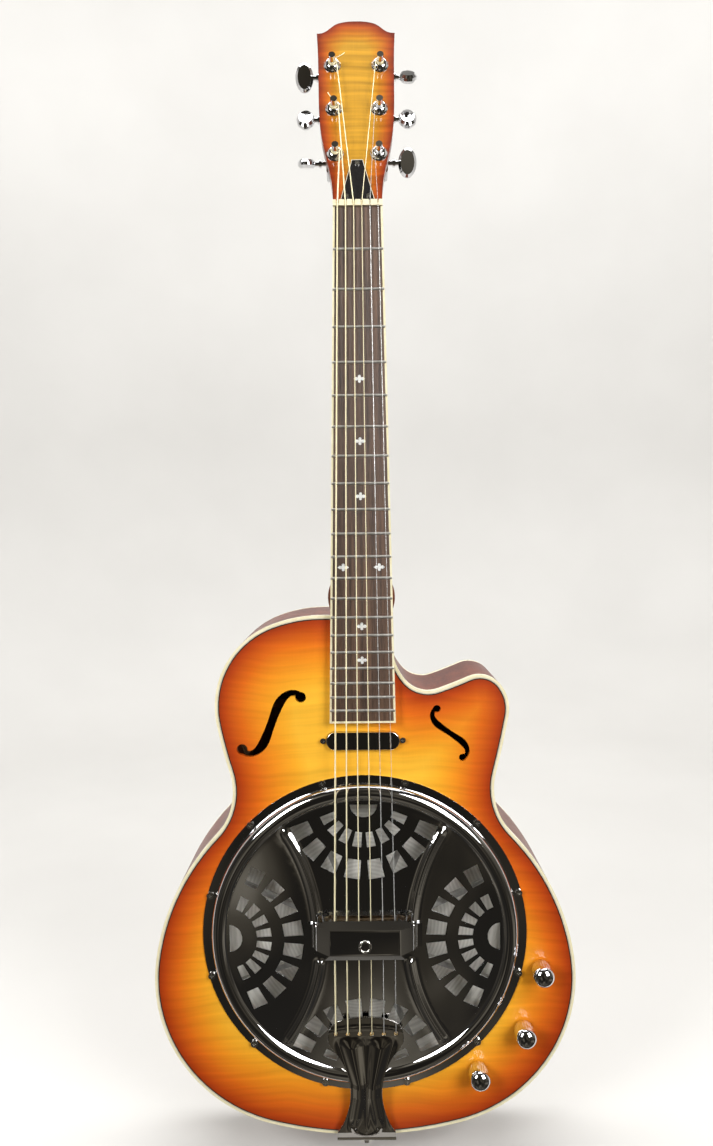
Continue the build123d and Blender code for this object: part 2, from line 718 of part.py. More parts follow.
def head_bar(x, s, low, high, radius, mode=Mode.ADD):
    with BuildSketch(at_head(x, s, low)) as bar:
        Circle(radius)
    extrude(bar.sketch, amount=high - low, mode=mode)


def tuner_places():
    """Post x, post s and side of the six tuners, from the low string's to the high one's."""
    for number in range(6):
        x, s = POSTS[min(number, 5 - number)]
        side = -1 if number < 3 else 1
        yield side * x, s, side


def worm_line(x, s, side, start, end):
    """End points of a stretch of a tuner's worm shaft, measured outwards from its post."""
    return [tuple(HEAD.from_local_coords(Vector(x + side * reach, s + WORM_OFFSET, -WORM_DEPTH)))
            for reach in (start, end)]


POST_R, POST_FIT = 3.0, 0.05
SHAFT_R = 2.2
HOUSING_DEEP, HOUSING_WALL = 12.6, 1.6
HOUSING_BOTTOM = -HOUSING_TOP - HOUSING_DEEP
with BuildPart() as tuner_housings:
    for x, s, side in tuner_places():
        with BuildSketch(at_head(x, s + 2.5, HOUSING_BOTTOM)) as case:
            RectangleRounded(17, 21, 3)
        extrude(case.sketch, amount=HOUSING_DEEP)
        with BuildSketch(at_head(x, s + 2.5, HOUSING_BOTTOM + HOUSING_WALL)) as hollow:
            RectangleRounded(17 - 2 * HOUSING_WALL, 21 - 2 * HOUSING_WALL, 2)
        extrude(hollow.sketch, amount=HOUSING_DEEP - 2 * HOUSING_WALL, mode=Mode.SUBTRACT)
        head_bar(x, s, -HOUSING_TOP - HOUSING_WALL - 1, -HOUSING_TOP + 1, POST_R + POST_FIT,
                 mode=Mode.SUBTRACT)
        rod(*worm_line(x, s, side, 6, 14), SHAFT_R + POST_FIT, mode=Mode.SUBTRACT)
save(tuner_housings, "tuner_housings")

with BuildPart() as tuner_bushings:
    for x, s, side in tuner_places():
        head_bar(x, s, -HOUSING_TOP + 0.2, 0, 4.3)
        head_bar(x, s, 0, 0.9, 7.6)
        with BuildSketch(at_head(x, s, 0.9)) as low:
            Circle(6.9)
        with BuildSketch(at_head(x, s, 4.4)) as high:
            Circle(4.6)
        loft([low.sketch, high.sketch])
        head_bar(x, s, -HOUSING_TOP - 1, 6, POST_R + POST_FIT, mode=Mode.SUBTRACT)
save(tuner_bushings, "tuner_bushings")


WHEEL_R, WORM_R, TEETH = 4.3, 1.9, 14
for number, (x, s, side) in enumerate(tuner_places(), start=1):
    with BuildPart() as string_post:
        head_bar(x, s, -HOUSING_TOP - HOUSING_WALL - 1.2, 12.6, POST_R)
        head_bar(x, s, -WORM_DEPTH - 1.8, -WORM_DEPTH + 1.8, WHEEL_R)
        for tooth in range(TEETH):
            turn = radians(360 / TEETH * tooth)
            head_bar(x + WHEEL_R * cos(turn), s + WHEEL_R * sin(turn), -WORM_DEPTH - 2, -WORM_DEPTH + 2, 0.45,
                     mode=Mode.SUBTRACT)
        head_bar(x, s, 3.2, 8.4, POST_R + 1, mode=Mode.SUBTRACT)
        head_bar(x, s, 3.2, 8.4, POST_R - 0.4)
        hole = [HEAD.from_local_coords(Vector(x + reach, s, 7.0)) for reach in (-5, 5)]
        rod(*[tuple(point) for point in hole], 0.8, mode=Mode.SUBTRACT)
    save(string_post, f"string_post_{number}")

    with BuildPart() as tuner_knob:
        rod(*worm_line(x, s, side, -4.6, 19.0), SHAFT_R)
        with BuildSketch(Plane(origin=worm_line(x, s, side, -5, 5)[0], z_dir=(side, 0, 0))) as relief:
            Circle(SHAFT_R + 1)
            Circle(WORM_R, mode=Mode.SUBTRACT)
        extrude(relief.sketch, amount=10, mode=Mode.SUBTRACT)
        # button: kidney outline in the plane of the shaft, turned about it
        centre = worm_line(x, s, side, 0, 26.5)[1]
        lean = KNOB_TURNS[number - 1] - HEAD_ANGLE
        flat = Plane(origin=centre, x_dir=(1, 0, 0), z_dir=(0, -cos(radians(lean)), sin(radians(lean))))
        with BuildSketch(flat.offset(-1.2)) as rim:
            Ellipse(8.3, 12.4)
        extrude(rim.sketch, amount=2.4)
        for way in (1, -1):
            with BuildSketch(flat.offset(1.2 * way)) as wide:
                Ellipse(8.3, 12.4)
            with BuildSketch(flat.offset(3.5 * way)) as narrow:
                Ellipse(6.2, 10.3)
            loft([wide.sketch, narrow.sketch])
        rod(*worm_line(x, s, side, 13.0, 15.5), 3.4)
    save(tuner_knob, f"tuner_knob_{number}")

# ---- pickup ----
def pickup_slot(width, height):
    with Locations((0, PICKUP_Z)):
        SlotOverall(width, height)


with BuildPart() as pickup_cover:
    layer(-4.6, 9, lambda: pickup_slot(66.4, 16.3))
    layer(-3.8, 9, lambda: pickup_slot(64.8, 14.7), mode=Mode.SUBTRACT)
    fillet(pickup_cover.faces().sort_by(Axis.Y)[0].outer_wire().edges(), 0.7)
save(pickup_cover, "pickup_cover")

with BuildPart() as pickup_core:
    layer(-3.4, 11, lambda: pickup_slot(63.8, 13.7))
save(pickup_core, "pickup_core")


# ---- small screws of the pickup, the truss rod cover and the tuner housings ----
with BuildPart() as trim_screws:
    for x in (-36.2, 36.2):
        screw(front_at(x, -1.4, PICKUP_Z), 2.6, 1.3, 1.3, 14)
        rod((x, 0, PICKUP_Z), (x, -1.4, PICKUP_Z), 1.9)
    for x, s in COVER_SCREWS:
        screw(at_head(x, s, COVER_THICK), 2.1, 1.1, 1.0, COVER_THICK)
    for x, s, side in tuner_places():
        head_bar(x, s - 11.1, -HOUSING_TOP - 1.2, -HOUSING_TOP, 3.0)
save(trim_screws, "trim_screws")

# ---- controls: three pots under the soundboard, each with its shaft and knob ----
SHAFT, KNOB_R = 3.0, 9.5
KNOB_FRONT, KNOB_BACK = -21.5, -2.2
with BuildPart() as pot_bodies:
    for x, z in CONTROLS:
        rod((x, TOP_THICK, z), (x, 14, z), 11.8)
        rod((x, TOP_THICK + 1, z), (x, -1.6, z), 4.6)
        rod((x, -3, z), (x, 11, z), SHAFT + POST_FIT, mode=Mode.SUBTRACT)
save(pot_bodies, "pot_bodies")

for number, (x, z) in enumerate(CONTROLS, start=1):
    with BuildPart() as pot_shaft:
        rod((x, 10.5, z), (x, -16, z), SHAFT)
    save(pot_shaft, f"pot_shaft_{number}")
    with BuildPart() as control_knob:
        rod((x, KNOB_BACK, z), (x, KNOB_FRONT, z), KNOB_R)
        fillet(control_knob.faces().sort_by(Axis.Y)[0].edges(), 2.6)
        rod((x, KNOB_BACK + 1, z), (x, -16, z), SHAFT, mode=Mode.SUBTRACT)
    save(control_knob, f"control_knob_{number}")

# ---- output jack, strap buttons, wiring ----
with BuildPart() as output_jack:
    rod((JACK_X - 26, JACK_Y, JACK_Z), (JACK_X + 3.6, JACK_Y, JACK_Z), 4.7)
    with BuildSketch(Plane.YZ.offset(JACK_X)) as plate:
        with Locations((JACK_Y, JACK_Z)):
            Ellipse(19, 12.5)
    extrude(plate.sketch, amount=1.5)
    rod((JACK_X + 1.5, JACK_Y, JACK_Z), (JACK_X + 3.6, JACK_Y, JACK_Z), 7.0)
    rod((JACK_X - 27, JACK_Y, JACK_Z), (JACK_X + 5, JACK_Y, JACK_Z), 3.25, mode=Mode.SUBTRACT)
save(output_jack, "output_jack")

with BuildPart() as strap_buttons:
    for start, way in (((0, STRAP_Y, -848.5), -1), ((0, HEEL_BUTTON, BODY_TOP + 18), 1)):
        for radius, low, high in ((5.5, 0, 1.5), (3.4, 1, 8), (7.0, 7, 9.5)):
            y, z = start[1], start[2]
            rod((0, y, z + way * low), (0, y, z + way * high), radius)
    rod((0, STRAP_Y, -849), (0, STRAP_Y, -835), 2.0)
    rod((0, HEEL_BUTTON, BODY_TOP + 18), (0, HEEL_BUTTON, BODY_TOP + 4), 2.0)
save(strap_buttons, "strap_buttons")

PICKUP_LEAD = [
    (0, 12, PICKUP_Z), (0, 44, PICKUP_Z), (70, 44, -500), (150, 44, -600), (160, 44, -685), (160, 15, -685),
]
JACK_LEAD = [(JACK_X - 27, JACK_Y, JACK_Z), (150, JACK_Y, JACK_Z), (146, 44, -742), (146, 15, -742)]
LOOM = [(146, 15, -748), (140, 24, -765), (112, 24, -775), (104, 15, -782)]
with BuildPart() as wiring:
    for points in (PICKUP_LEAD, JACK_LEAD, LOOM):
        with BuildLine() as route:
            FilletPolyline(*points, radius=5)
        lead_start = Plane(origin=points[0], z_dir=Vector(*points[1]) - Vector(*points[0]))
        with BuildSketch(lead_start) as section:
            Circle(1.4)
        sweep(section.sketch, path=route.line)
save(wiring, "wiring")
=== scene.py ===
from math import atan2, cos, exp, hypot, pi, radians, sin, sqrt

import bmesh
import bpy
from mathutils import Matrix, Vector
from mathutils.geometry import interpolate_bezier
from mathutils.kdtree import KDTree


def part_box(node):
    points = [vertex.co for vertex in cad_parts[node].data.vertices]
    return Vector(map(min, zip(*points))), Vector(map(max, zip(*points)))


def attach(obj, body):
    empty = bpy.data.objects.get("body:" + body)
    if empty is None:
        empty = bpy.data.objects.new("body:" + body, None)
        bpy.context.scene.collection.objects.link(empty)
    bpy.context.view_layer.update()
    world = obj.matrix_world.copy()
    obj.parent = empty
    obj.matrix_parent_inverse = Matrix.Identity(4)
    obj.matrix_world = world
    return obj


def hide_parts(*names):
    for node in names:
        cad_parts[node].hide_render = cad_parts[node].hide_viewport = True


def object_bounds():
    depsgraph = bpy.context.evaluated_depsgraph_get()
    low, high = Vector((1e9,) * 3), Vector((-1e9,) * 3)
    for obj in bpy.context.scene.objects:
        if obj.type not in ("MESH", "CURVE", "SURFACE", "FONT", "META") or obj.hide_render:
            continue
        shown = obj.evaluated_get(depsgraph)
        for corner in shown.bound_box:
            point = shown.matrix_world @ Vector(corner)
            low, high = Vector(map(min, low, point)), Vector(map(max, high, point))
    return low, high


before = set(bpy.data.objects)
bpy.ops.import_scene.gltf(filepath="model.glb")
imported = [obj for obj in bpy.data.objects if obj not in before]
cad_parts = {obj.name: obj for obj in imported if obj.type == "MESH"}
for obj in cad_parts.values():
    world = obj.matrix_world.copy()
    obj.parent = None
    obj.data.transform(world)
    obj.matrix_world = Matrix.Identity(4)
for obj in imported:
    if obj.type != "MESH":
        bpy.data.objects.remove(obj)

cad_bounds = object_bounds()
scene = bpy.context.scene

# Camera: it stands level with the foot of the neck, a little to the bass side, and a wide lens
# close by takes in the whole guitar.
camera = bpy.data.objects.new("camera", bpy.data.cameras.new("camera"))
scene.collection.objects.link(camera)
camera.data.sensor_width = 36
camera.data.lens = 25.0
pitch, roll, yaw = radians(3.484), radians(-0.582), radians(-0.081)
view = Matrix.Rotation(yaw, 3, "Z") @ Matrix.Rotation(roll, 3, "Y") @ Matrix.Rotation(pitch, 3, "X")
axes = Matrix((view.row[0], view.row[2], -view.row[1])).transposed()
camera.matrix_world = Matrix.Translation((-0.00325, -0.71229, -0.27412)) @ axes.to_4x4()
scene.camera = camera
scene.view_settings.view_transform = "Standard"


# Studio: a pale paper floor that curves up behind the guitar in a half round, and four softboxes.
# Its front edge lies just ahead of the guitar, which keeps the pale floor out of the coverplate.
# The room around looks pale, and reflects dark and uneven, so that the chrome has depth.
def wire(tree, node, socket, value):
    """Sets a socket, or links it when the value is another node's socket."""
    if isinstance(value, bpy.types.NodeSocket):
        tree.links.new(value, node.inputs[socket])
    else:
        node.inputs[socket].default_value = value


def add_node(tree, kind, sockets=(), **settings):
    node = tree.nodes.new("ShaderNode" + kind)
    for name, value in settings.items():
        setattr(node, name, value)
    for socket, value in dict(sockets).items():
        wire(tree, node, socket, value)
    return node


def new_finish(name, **constants):
    """Principled material with some of its sockets set; returns material, tree and shader."""
    material = bpy.data.materials.new(name)
    material.use_nodes = True
    shader = material.node_tree.nodes["Principled BSDF"]
    for socket, value in constants.items():
        shader.inputs[socket.replace("_", " ")].default_value = value
    return material, material.node_tree, shader


def ramp(tree, factor, *stops):
    """Colour ramp through (place, colour) stops."""
    node = add_node(tree, "ValToRGB", {0: factor})
    keys = node.color_ramp.elements
    while len(keys) < len(stops):
        keys.new(0.5)
    for key, (place, colour) in zip(keys, stops):
        key.position = place
        key.color = (*colour, 1)
    return node.outputs["Color"]


def object_place(tree, scale=(1, 1, 1), turn=(0, 0, 0)):
    """Object coordinates, stretched and turned."""
    coordinates = add_node(tree, "TexCoord")
    sockets = {"Vector": coordinates.outputs["Object"], "Scale": scale, "Rotation": turn}
    return add_node(tree, "Mapping", sockets).outputs[0]


def speckle(tree, place, scale, detail=3.0, roughness=0.5):
    return add_node(tree, "TexNoise", {"Vector": place, "Scale": scale, "Detail": detail,
                                       "Roughness": roughness}).outputs["Fac"]


def mesh_object(name, shape, keep_flat=None, flat_way=None):
    """Object from a bmesh; edges over keep_flat degrees stay crisp, faces square to flat_way plane."""
    mesh = bpy.data.meshes.new(name)
    shape.to_mesh(mesh)
    shape.free()
    made = bpy.data.objects.new(name, mesh)
    scene.collection.objects.link(made)
    if keep_flat is not None:
        mesh.polygons.foreach_set("use_smooth", [True] * len(mesh.polygons))
        mesh.set_sharp_from_angle(angle=radians(keep_flat))
    if flat_way is not None:
        for face in mesh.polygons:
            face.use_smooth = abs(face.normal.dot(Vector(flat_way))) < 0.999
    return made


floor_height = cad_bounds[0][2] - 0.02
sweep = bmesh.new()
front_y, radius, corner = -0.015, 2.4, 0.9
profile = [(0.0, floor_height), (radius - corner, floor_height)]
profile += [(radius - corner + corner * sin(angle), floor_height + corner - corner * cos(angle))
            for angle in (radians(step) for step in range(10, 91, 10))]
profile.append((radius, 3.2))
row = [sweep.verts.new((r, front_y, z)) for r, z in profile]
for pair in zip(row, row[1:]):
    sweep.edges.new(pair)
bmesh.ops.spin(sweep, geom=sweep.verts[:] + sweep.edges[:], cent=(0, front_y, 0), axis=(0, 0, 1),
               dvec=(0, 0, 0), angle=pi, steps=64, use_merge=False)
bmesh.ops.remove_doubles(sweep, verts=sweep.verts[:], dist=1e-5)
bmesh.ops.recalc_face_normals(sweep, faces=sweep.faces[:])
backdrop = mesh_object("floor", sweep, keep_flat=60)
paper, tree, shader = new_finish("pale_paper", Roughness=0.9)
tone = ramp(tree, speckle(tree, object_place(tree), 2.0), (0.3, (0.56, 0.55, 0.53)), (0.7, (0.6, 0.59, 0.57)))
wire(tree, shader, "Base Color", tone)
backdrop.data.materials.append(paper)

world = bpy.data.worlds.new("room")
scene.world = world
world.use_nodes = True
tree = world.node_tree
direction = add_node(tree, "TexCoord").outputs["Generated"]
depth = add_node(tree, "SeparateXYZ", {0: direction}).outputs["Y"]
room = ramp(tree, add_node(tree, "MapRange", {0: depth, 1: -1.0, 2: 1.0}).outputs[0],
            (0.0, (0.0, 0.0, 0.0)), (0.47, (0.02, 0.02, 0.02)), (0.6, (0.55, 0.54, 0.52)),
            (0.8, (0.62, 0.61, 0.59)))
# dim warm furniture and openings, for the polished metal to pick up
squeezed = add_node(tree, "VectorMath", {0: direction, 1: (3.2, 2.2, 1.7)}, operation="MULTIPLY")
clutter = speckle(tree, squeezed.outputs[0], 1.0, 3.0)
shapes = ramp(tree, clutter, (0.4, (0.014, 0.0125, 0.010)), (0.5, (0.035, 0.03, 0.022)),
              (0.57, (0.075, 0.066, 0.05)), (0.68, (0.22, 0.2, 0.16)))
total = add_node(tree, "VectorMath", {0: room, 1: shapes}, operation="ADD").outputs[0]
# seen straight on, the room is plain pale paper all round, and only the metal shows the dark side
seen = add_node(tree, "LightPath").outputs["Is Camera Ray"]
around = add_node(tree, "Mix", {"Factor": seen}, data_type="RGBA")
wire(tree, around, 6, total)
wire(tree, around, 7, (0.9, 0.89, 0.87, 1))
wire(tree, tree.nodes["Background"], "Color", around.outputs[2])


def softbox(name, place, target, width, height, power):
    lamp = bpy.data.lights.new(name, "AREA")
    lamp.shape = "RECTANGLE"
    lamp.size, lamp.size_y = width, height
    lamp.energy = power
    made = bpy.data.objects.new(name, lamp)
    scene.collection.objects.link(made)
    made.location = place
    made.rotation_euler = (Vector(target) - Vector(place)).to_track_quat("-Z", "Y").to_euler()


softbox("key_right", (1.05, -1.3, 0.2), (0.05, 0, -0.55), 0.8, 1.2, 33)
softbox("key_left", (-1.15, -1.25, 0.25), (-0.05, 0, -0.55), 0.5, 1.0, 25)
softbox("overhead", (0.0, -0.3, 1.5), (0, 0, -0.3), 1.6, 0.5, 5)
softbox("backdrop_light", (0.0, 0.5, 2.3), (0, 1.7, -0.8), 3.0, 1.0, 95)


# Soundboard: laminated flame maple glued to the linings, sprayed from yellow to red towards the
# rim, under thick gloss lacquer. The rim attribute is each point's distance from the binding, in
# metres, and the colours follow it.
def cad_copy(node):
    """Clean bmesh of a CAD node, its loose triangles merged."""
    shape = bmesh.new()
    shape.from_mesh(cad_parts[node].data)
    bmesh.ops.remove_doubles(shape, verts=shape.verts[:], dist=2e-6)
    return shape


def cut_fine(shape, step, directions=((1, 0, 0), (0, 0, 1))):
    """Slices a shape on a grid, so that it can hold fine relief or a smooth attribute."""
    low = [min(v.co[i] for v in shape.verts) for i in range(3)]
    high = [max(v.co[i] for v in shape.verts) for i in range(3)]
    for axis in directions:
        i = max(range(3), key=lambda k: abs(axis[k]))
        for number in range(1, int((high[i] - low[i]) / step)):
            at = [0.0, 0.0, 0.0]
            at[i] = low[i] + number * step
            bmesh.ops.bisect_plane(shape, geom=shape.verts[:] + shape.edges[:] + shape.faces[:],
                                   plane_co=at, plane_no=axis, dist=1e-6)


def edge_points(lines, step=0.002):
    """KD tree of points along a list of vertex pairs."""
    points = []
    for a, b in lines:
        count = max(1, int((b - a).length / step))
        points += [a.lerp(b, k / count) for k in range(count + 1)]
    tree = KDTree(len(points))
    for number, point in enumerate(points):
        tree.insert(point, number)
    tree.balance()
    return tree


def store_rim(made, tree):
    rim = made.data.attributes.new("rim", "FLOAT", "POINT")
    rim.data.foreach_set("value", [tree.find(v.co)[2] for v in made.data.vertices])


flame = bpy.data.node_groups.new("flame_figure", "ShaderNodeTree")
flame.interface.new_socket("Stripe Scale", in_out="INPUT", socket_type="NodeSocketFloat")
flame.interface.new_socket("Depth", in_out="INPUT", socket_type="NodeSocketFloat")
flame.interface.new_socket("Shade", in_out="OUTPUT", socket_type="NodeSocketFloat")
flame_in = flame.nodes.new("NodeGroupInput")
flame_out = flame.nodes.new("NodeGroupOutput")
warp = speckle(flame, object_place(flame, (9, 1, 5)), 1.0, 2.0)
place = object_place(flame, (9, 0.5, 190))
lifted = add_node(flame, "VectorMath", {0: place, 1: (0, 0, 0)}, operation="ADD")
sway = add_node(flame, "Math", {0: warp, 1: 5.0}, operation="MULTIPLY").outputs[0]
bent = add_node(flame, "CombineXYZ", {"Z": sway})
wire(flame, lifted, 1, bent.outputs[0])
stripes = speckle(flame, lifted.outputs[0], flame_in.outputs["Stripe Scale"], 2.0, 0.45)
pores = speckle(flame, object_place(flame, (900, 30, 40)), 1.0, 2.0)
pore_shade = add_node(flame, "Math", {0: pores, 1: 0.12}, operation="MULTIPLY").outputs[0]
mixed = add_node(flame, "Math", {0: stripes, 1: pore_shade}, operation="ADD").outputs[0]
centred = add_node(flame, "Math", {0: mixed, 1: 0.56}, operation="SUBTRACT").outputs[0]
scaled = add_node(flame, "Math", {0: centred, 1: flame_in.outputs["Depth"]}, operation="MULTIPLY").outputs[0]
wire(flame, flame_out, 0, add_node(flame, "Math", {0: scaled, 1: 1.0}, operation="ADD").outputs[0])


def burst_finish(name, reach, stripe_scale, stripe_depth, painted_shade_scale=1.0):
    """Sunburst lacquer over flamed maple; reach is how far the colour runs in from the rim, and the last
    argument scales all the colours down as painted shade.
    """
    material, tree, shader = new_finish(name, Coat_Weight=1.0, Coat_Roughness=0.04, Coat_IOR=1.45,
                                        Roughness=0.4, Specular_IOR_Level=0.3)
    rim = add_node(tree, "Attribute", attribute_name="rim").outputs["Fac"]
    cloud = speckle(tree, object_place(tree), 9.0, 2.0)
    drift = add_node(tree, "MapRange", {0: cloud, 1: 0.3, 2: 0.7, 3: 0.86, 4: 1.14}).outputs[0]
    share = add_node(tree, "Math", {0: rim, 1: drift}, operation="MULTIPLY").outputs[0]
    share = add_node(tree, "Math", {0: share, 1: reach}, operation="DIVIDE").outputs[0]
    stops = ((0.0, (0.26, 0.025, 0.003)), (0.1, (0.42, 0.05, 0.004)), (0.3, (0.64, 0.125, 0.007)),
             (0.55, (0.78, 0.25, 0.012)), (0.8, (0.83, 0.36, 0.02)), (1.0, (0.86, 0.44, 0.033)))
    colour = ramp(tree, share, *[(at, tuple(painted_shade_scale * part for part in shade)) for at, shade in stops])
    shade = add_node(tree, "Group", node_tree=flame)
    shade.inputs["Stripe Scale"].default_value = stripe_scale
    shade.inputs["Depth"].default_value = stripe_depth
    lit = add_node(tree, "VectorMath", {0: colour, "Scale": shade.outputs["Shade"]}, operation="SCALE")
    wire(tree, shader, "Base Color", lit.outputs[0])
    gloss = speckle(tree, object_place(tree), 45.0, 2.0)
    wire(tree, shader, "Roughness", add_node(tree, "MapRange", {0: gloss, 3: 0.3, 4: 0.46}).outputs[0])
    return material


shape = cad_copy("soundboard")
cut_fine(shape, 0.008)
soundboard = mesh_object("soundboard_burst", shape, keep_flat=30, flat_way=(0, 1, 0))
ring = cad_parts["binding_top"].data
on_face = [e for e in ring.edges if all(ring.vertices[i].co.y < 1e-4 for i in e.vertices)]
store_rim(soundboard, edge_points([[ring.vertices[i].co for i in e.vertices] for e in on_face]))
soundboard.data.materials.append(burst_finish("burst_top", 0.068, 1.0, 0.5))
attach(soundboard, "guitar")
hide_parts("soundboard")

# Headstock face: thin flame maple veneer glued to the headstock, in the same burst but painted darker, as
# painted shade against the stronger overhead light it gets. The colours run in from its outline, and not
# from the tuner holes or the truss rod mouth.
shape = cad_copy("headstock_veneer")
cut_fine(shape, 0.006)
lean = radians(14)
head_up = Vector((0, sin(lean), cos(lean)))
head_out = Vector((0, -cos(lean), sin(lean)))
veneer = mesh_object("headstock_burst", shape, keep_flat=30, flat_way=head_out)
shape = cad_copy("headstock_veneer")
middle = sum((v.co for v in shape.verts), Vector()) / len(shape.verts)
rim_lines = []
for edge in shape.edges:
    if len(edge.link_faces) == 2 and edge.calc_face_angle() > 0.8:
        a, b = (v.co.copy() for v in edge.verts)
        centre = (a + b) / 2
        inward = abs(centre.x) < 0.0195 and centre.z < 0.165 and centre.z > 0.008
        tuner_hole = any(hypot(abs(centre.x) - x, centre.z - z) < 0.0065
                         for x, z in ((0.0192, 0.0522), (0.0202, 0.0962), (0.0215, 0.1394)))
        if not inward and not tuner_hole and (b - a).length > 1e-5:
            rim_lines.append((a, b))
shape.free()
store_rim(veneer, edge_points(rim_lines))
# the headstock's colours are scaled down here: painted shade, since it takes more light than the body
veneer.data.materials.append(burst_finish("burst_headstock", 0.02, 1.0, 1.4, painted_shade_scale=0.62))
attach(veneer, "guitar")
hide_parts("headstock_veneer")

# Body shell: bent mahogany sides and a flat mahogany back, glued to spruce linings and blocks and
# lacquered to a gloss. Cream plastic binding covers the edges, with thin light and dark strips
# beside it on the top.
wood_grain = bpy.data.node_groups.new("wood_grain", "ShaderNodeTree")
for socket, kind in (("Place", "Vector"), ("Dark", "Color"), ("Light", "Color")):
    wood_grain.interface.new_socket(socket, in_out="INPUT", socket_type="NodeSocket" + kind)
wood_grain.interface.new_socket("Color", in_out="OUTPUT", socket_type="NodeSocketColor")
wood_grain.interface.new_socket("Height", in_out="OUTPUT", socket_type="NodeSocketFloat")
grain_in = wood_grain.nodes.new("NodeGroupInput")
grain_out = wood_grain.nodes.new("NodeGroupOutput")
broad = speckle(wood_grain, grain_in.outputs["Place"], 1.0, 4.0)
fine = speckle(wood_grain, grain_in.outputs["Place"], 9.0, 5.0, 0.65)
blend = add_node(wood_grain, "Math", {0: broad, 1: fine}, operation="ADD").outputs[0]
grain_share = add_node(wood_grain, "MapRange", {0: blend, 1: 0.75, 2: 1.25}).outputs[0]
grain_mix = add_node(wood_grain, "Mix", {"Factor": grain_share}, data_type="RGBA")
wire(wood_grain, grain_mix, 6, grain_in.outputs["Dark"])
wire(wood_grain, grain_mix, 7, grain_in.outputs["Light"])
wire(wood_grain, grain_out, "Color", grain_mix.outputs[2])
wire(wood_grain, grain_out, "Height", grain_share)


def wood_finish(name, dark, light, stretch, bump=0.1, **constants):
    """Grained wood; stretch is how often the grain repeats along X, Y and Z."""
    material, tree, shader = new_finish(name, **constants)
    grain = add_node(tree, "Group", node_tree=wood_grain)
    wire(tree, grain, "Place", object_place(tree, stretch))
    grain.inputs["Dark"].default_value = (*dark, 1)
    grain.inputs["Light"].default_value = (*light, 1)
    wire(tree, shader, "Base Color", grain.outputs["Color"])
    relief = add_node(tree, "Bump", {"Strength": bump, "Distance": 0.0004, "Height": grain.outputs["Height"]})
    wire(tree, shader, "Normal", relief.outputs[0])
    return material


def tinted_finish(name, colour, other, scale, low, high, **constants):
    """Plastic or plain metal with slight cloudiness in its colour and gloss."""
    material, tree, shader = new_finish(name, **constants)
    cloud = speckle(tree, object_place(tree), scale, 4.0, 0.6)
    wire(tree, shader, "Base Color", ramp(tree, cloud, (0.35, colour), (0.65, other)))
    gloss = add_node(tree, "MapRange", {0: cloud, 1: 0.3, 2: 0.7, 3: low, 4: high}).outputs[0]
    wire(tree, shader, "Roughness", gloss)
    return material


def dress(node, material):
    """Gives a CAD node a finish, in place of its plain one."""
    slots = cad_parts[node].data.materials
    slots.clear()
    slots.append(material)


mahogany = wood_finish("gloss_mahogany", (0.075, 0.012, 0.006), (0.17, 0.036, 0.014), (60, 25, 4),
                       Coat_Weight=0.2, Coat_IOR=1.35, Coat_Roughness=0.06, Specular_IOR_Level=0.2,
                       Roughness=0.45)
back_mahogany = wood_finish("back_mahogany", (0.085, 0.015, 0.007), (0.2, 0.045, 0.017), (55, 10, 3.5),
                            Coat_Weight=1.0, Coat_Roughness=0.05, Roughness=0.4)
cream = tinted_finish("cream_binding", (0.76, 0.68, 0.43), (0.84, 0.77, 0.54), 60, 0.2, 0.34,
                      Coat_Weight=0.6, Coat_Roughness=0.06)
for node in ("side_bass", "side_treble"):
    dress(node, mahogany)
dress("back_plate", back_mahogany)
for node in ("binding_top", "binding_back", "fretboard_binding"):
    dress(node, cream)
light_ply = tinted_finish("light_ply", (0.48, 0.43, 0.32), (0.62, 0.57, 0.44), 90, 0.3, 0.4, Coat_Weight=1.0)
dark_ply = tinted_finish("dark_ply", (0.012, 0.01, 0.008), (0.03, 0.022, 0.016), 90, 0.3, 0.4,
                         Coat_Weight=1.0)
dress("purfling_light", light_ply)
dress("purfling_dark", dark_ply)
spruce = wood_finish("bare_spruce", (0.42, 0.26, 0.12), (0.58, 0.4, 0.22), (80, 8, 80), Roughness=0.75)
for node in ("linings", "end_blocks", "back_braces", "soundwell"):
    dress(node, spruce)

# Neck: mahogany shaft, heel and tilted headstock core in satin lacquer, bolted to the body's neck
# block.
neck_wood = wood_finish("neck_mahogany", (0.09, 0.022, 0.01), (0.2, 0.06, 0.025), (70, 40, 3),
                        Roughness=0.35, Coat_Weight=0.6, Coat_Roughness=0.12)
shape = cad_copy("neck")
# the headstock's back closes the truss rod mouth behind its nut
head_depth, floor_thick = 0.0142, 0.004
mouth_wide, mouth_long, mouth_round, mouth_up = 0.009, 0.030, 0.0044, 0.014
plug = bmesh.ops.create_cube(shape, size=1.0)["verts"]
bmesh.ops.scale(shape, verts=plug, vec=(mouth_wide, mouth_long, floor_thick))
plug_edges = dict.fromkeys(e for v in plug for e in v.link_edges)
corners = [e for e in plug_edges if abs(e.verts[0].co.z - e.verts[1].co.z) > 0.001]
rounded = bmesh.ops.bevel(shape, geom=corners, offset=mouth_round, segments=6, profile=0.5, affect="EDGES",
                          material=-1)
plug = {v for v in plug if v.is_valid} | set(rounded["verts"])
to_head = Matrix((Vector((1, 0, 0)), head_up, head_out)).transposed().to_4x4()
middle = Vector((0, -0.001, 0.005)) + head_up * mouth_up - head_out * (head_depth - floor_thick / 2)
bmesh.ops.transform(shape, matrix=Matrix.Translation(middle) @ to_head, verts=list(plug))
neck = mesh_object("neck_shaft", shape, keep_flat=38)
neck.data.materials.append(neck_wood)
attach(neck, "guitar")
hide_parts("neck")

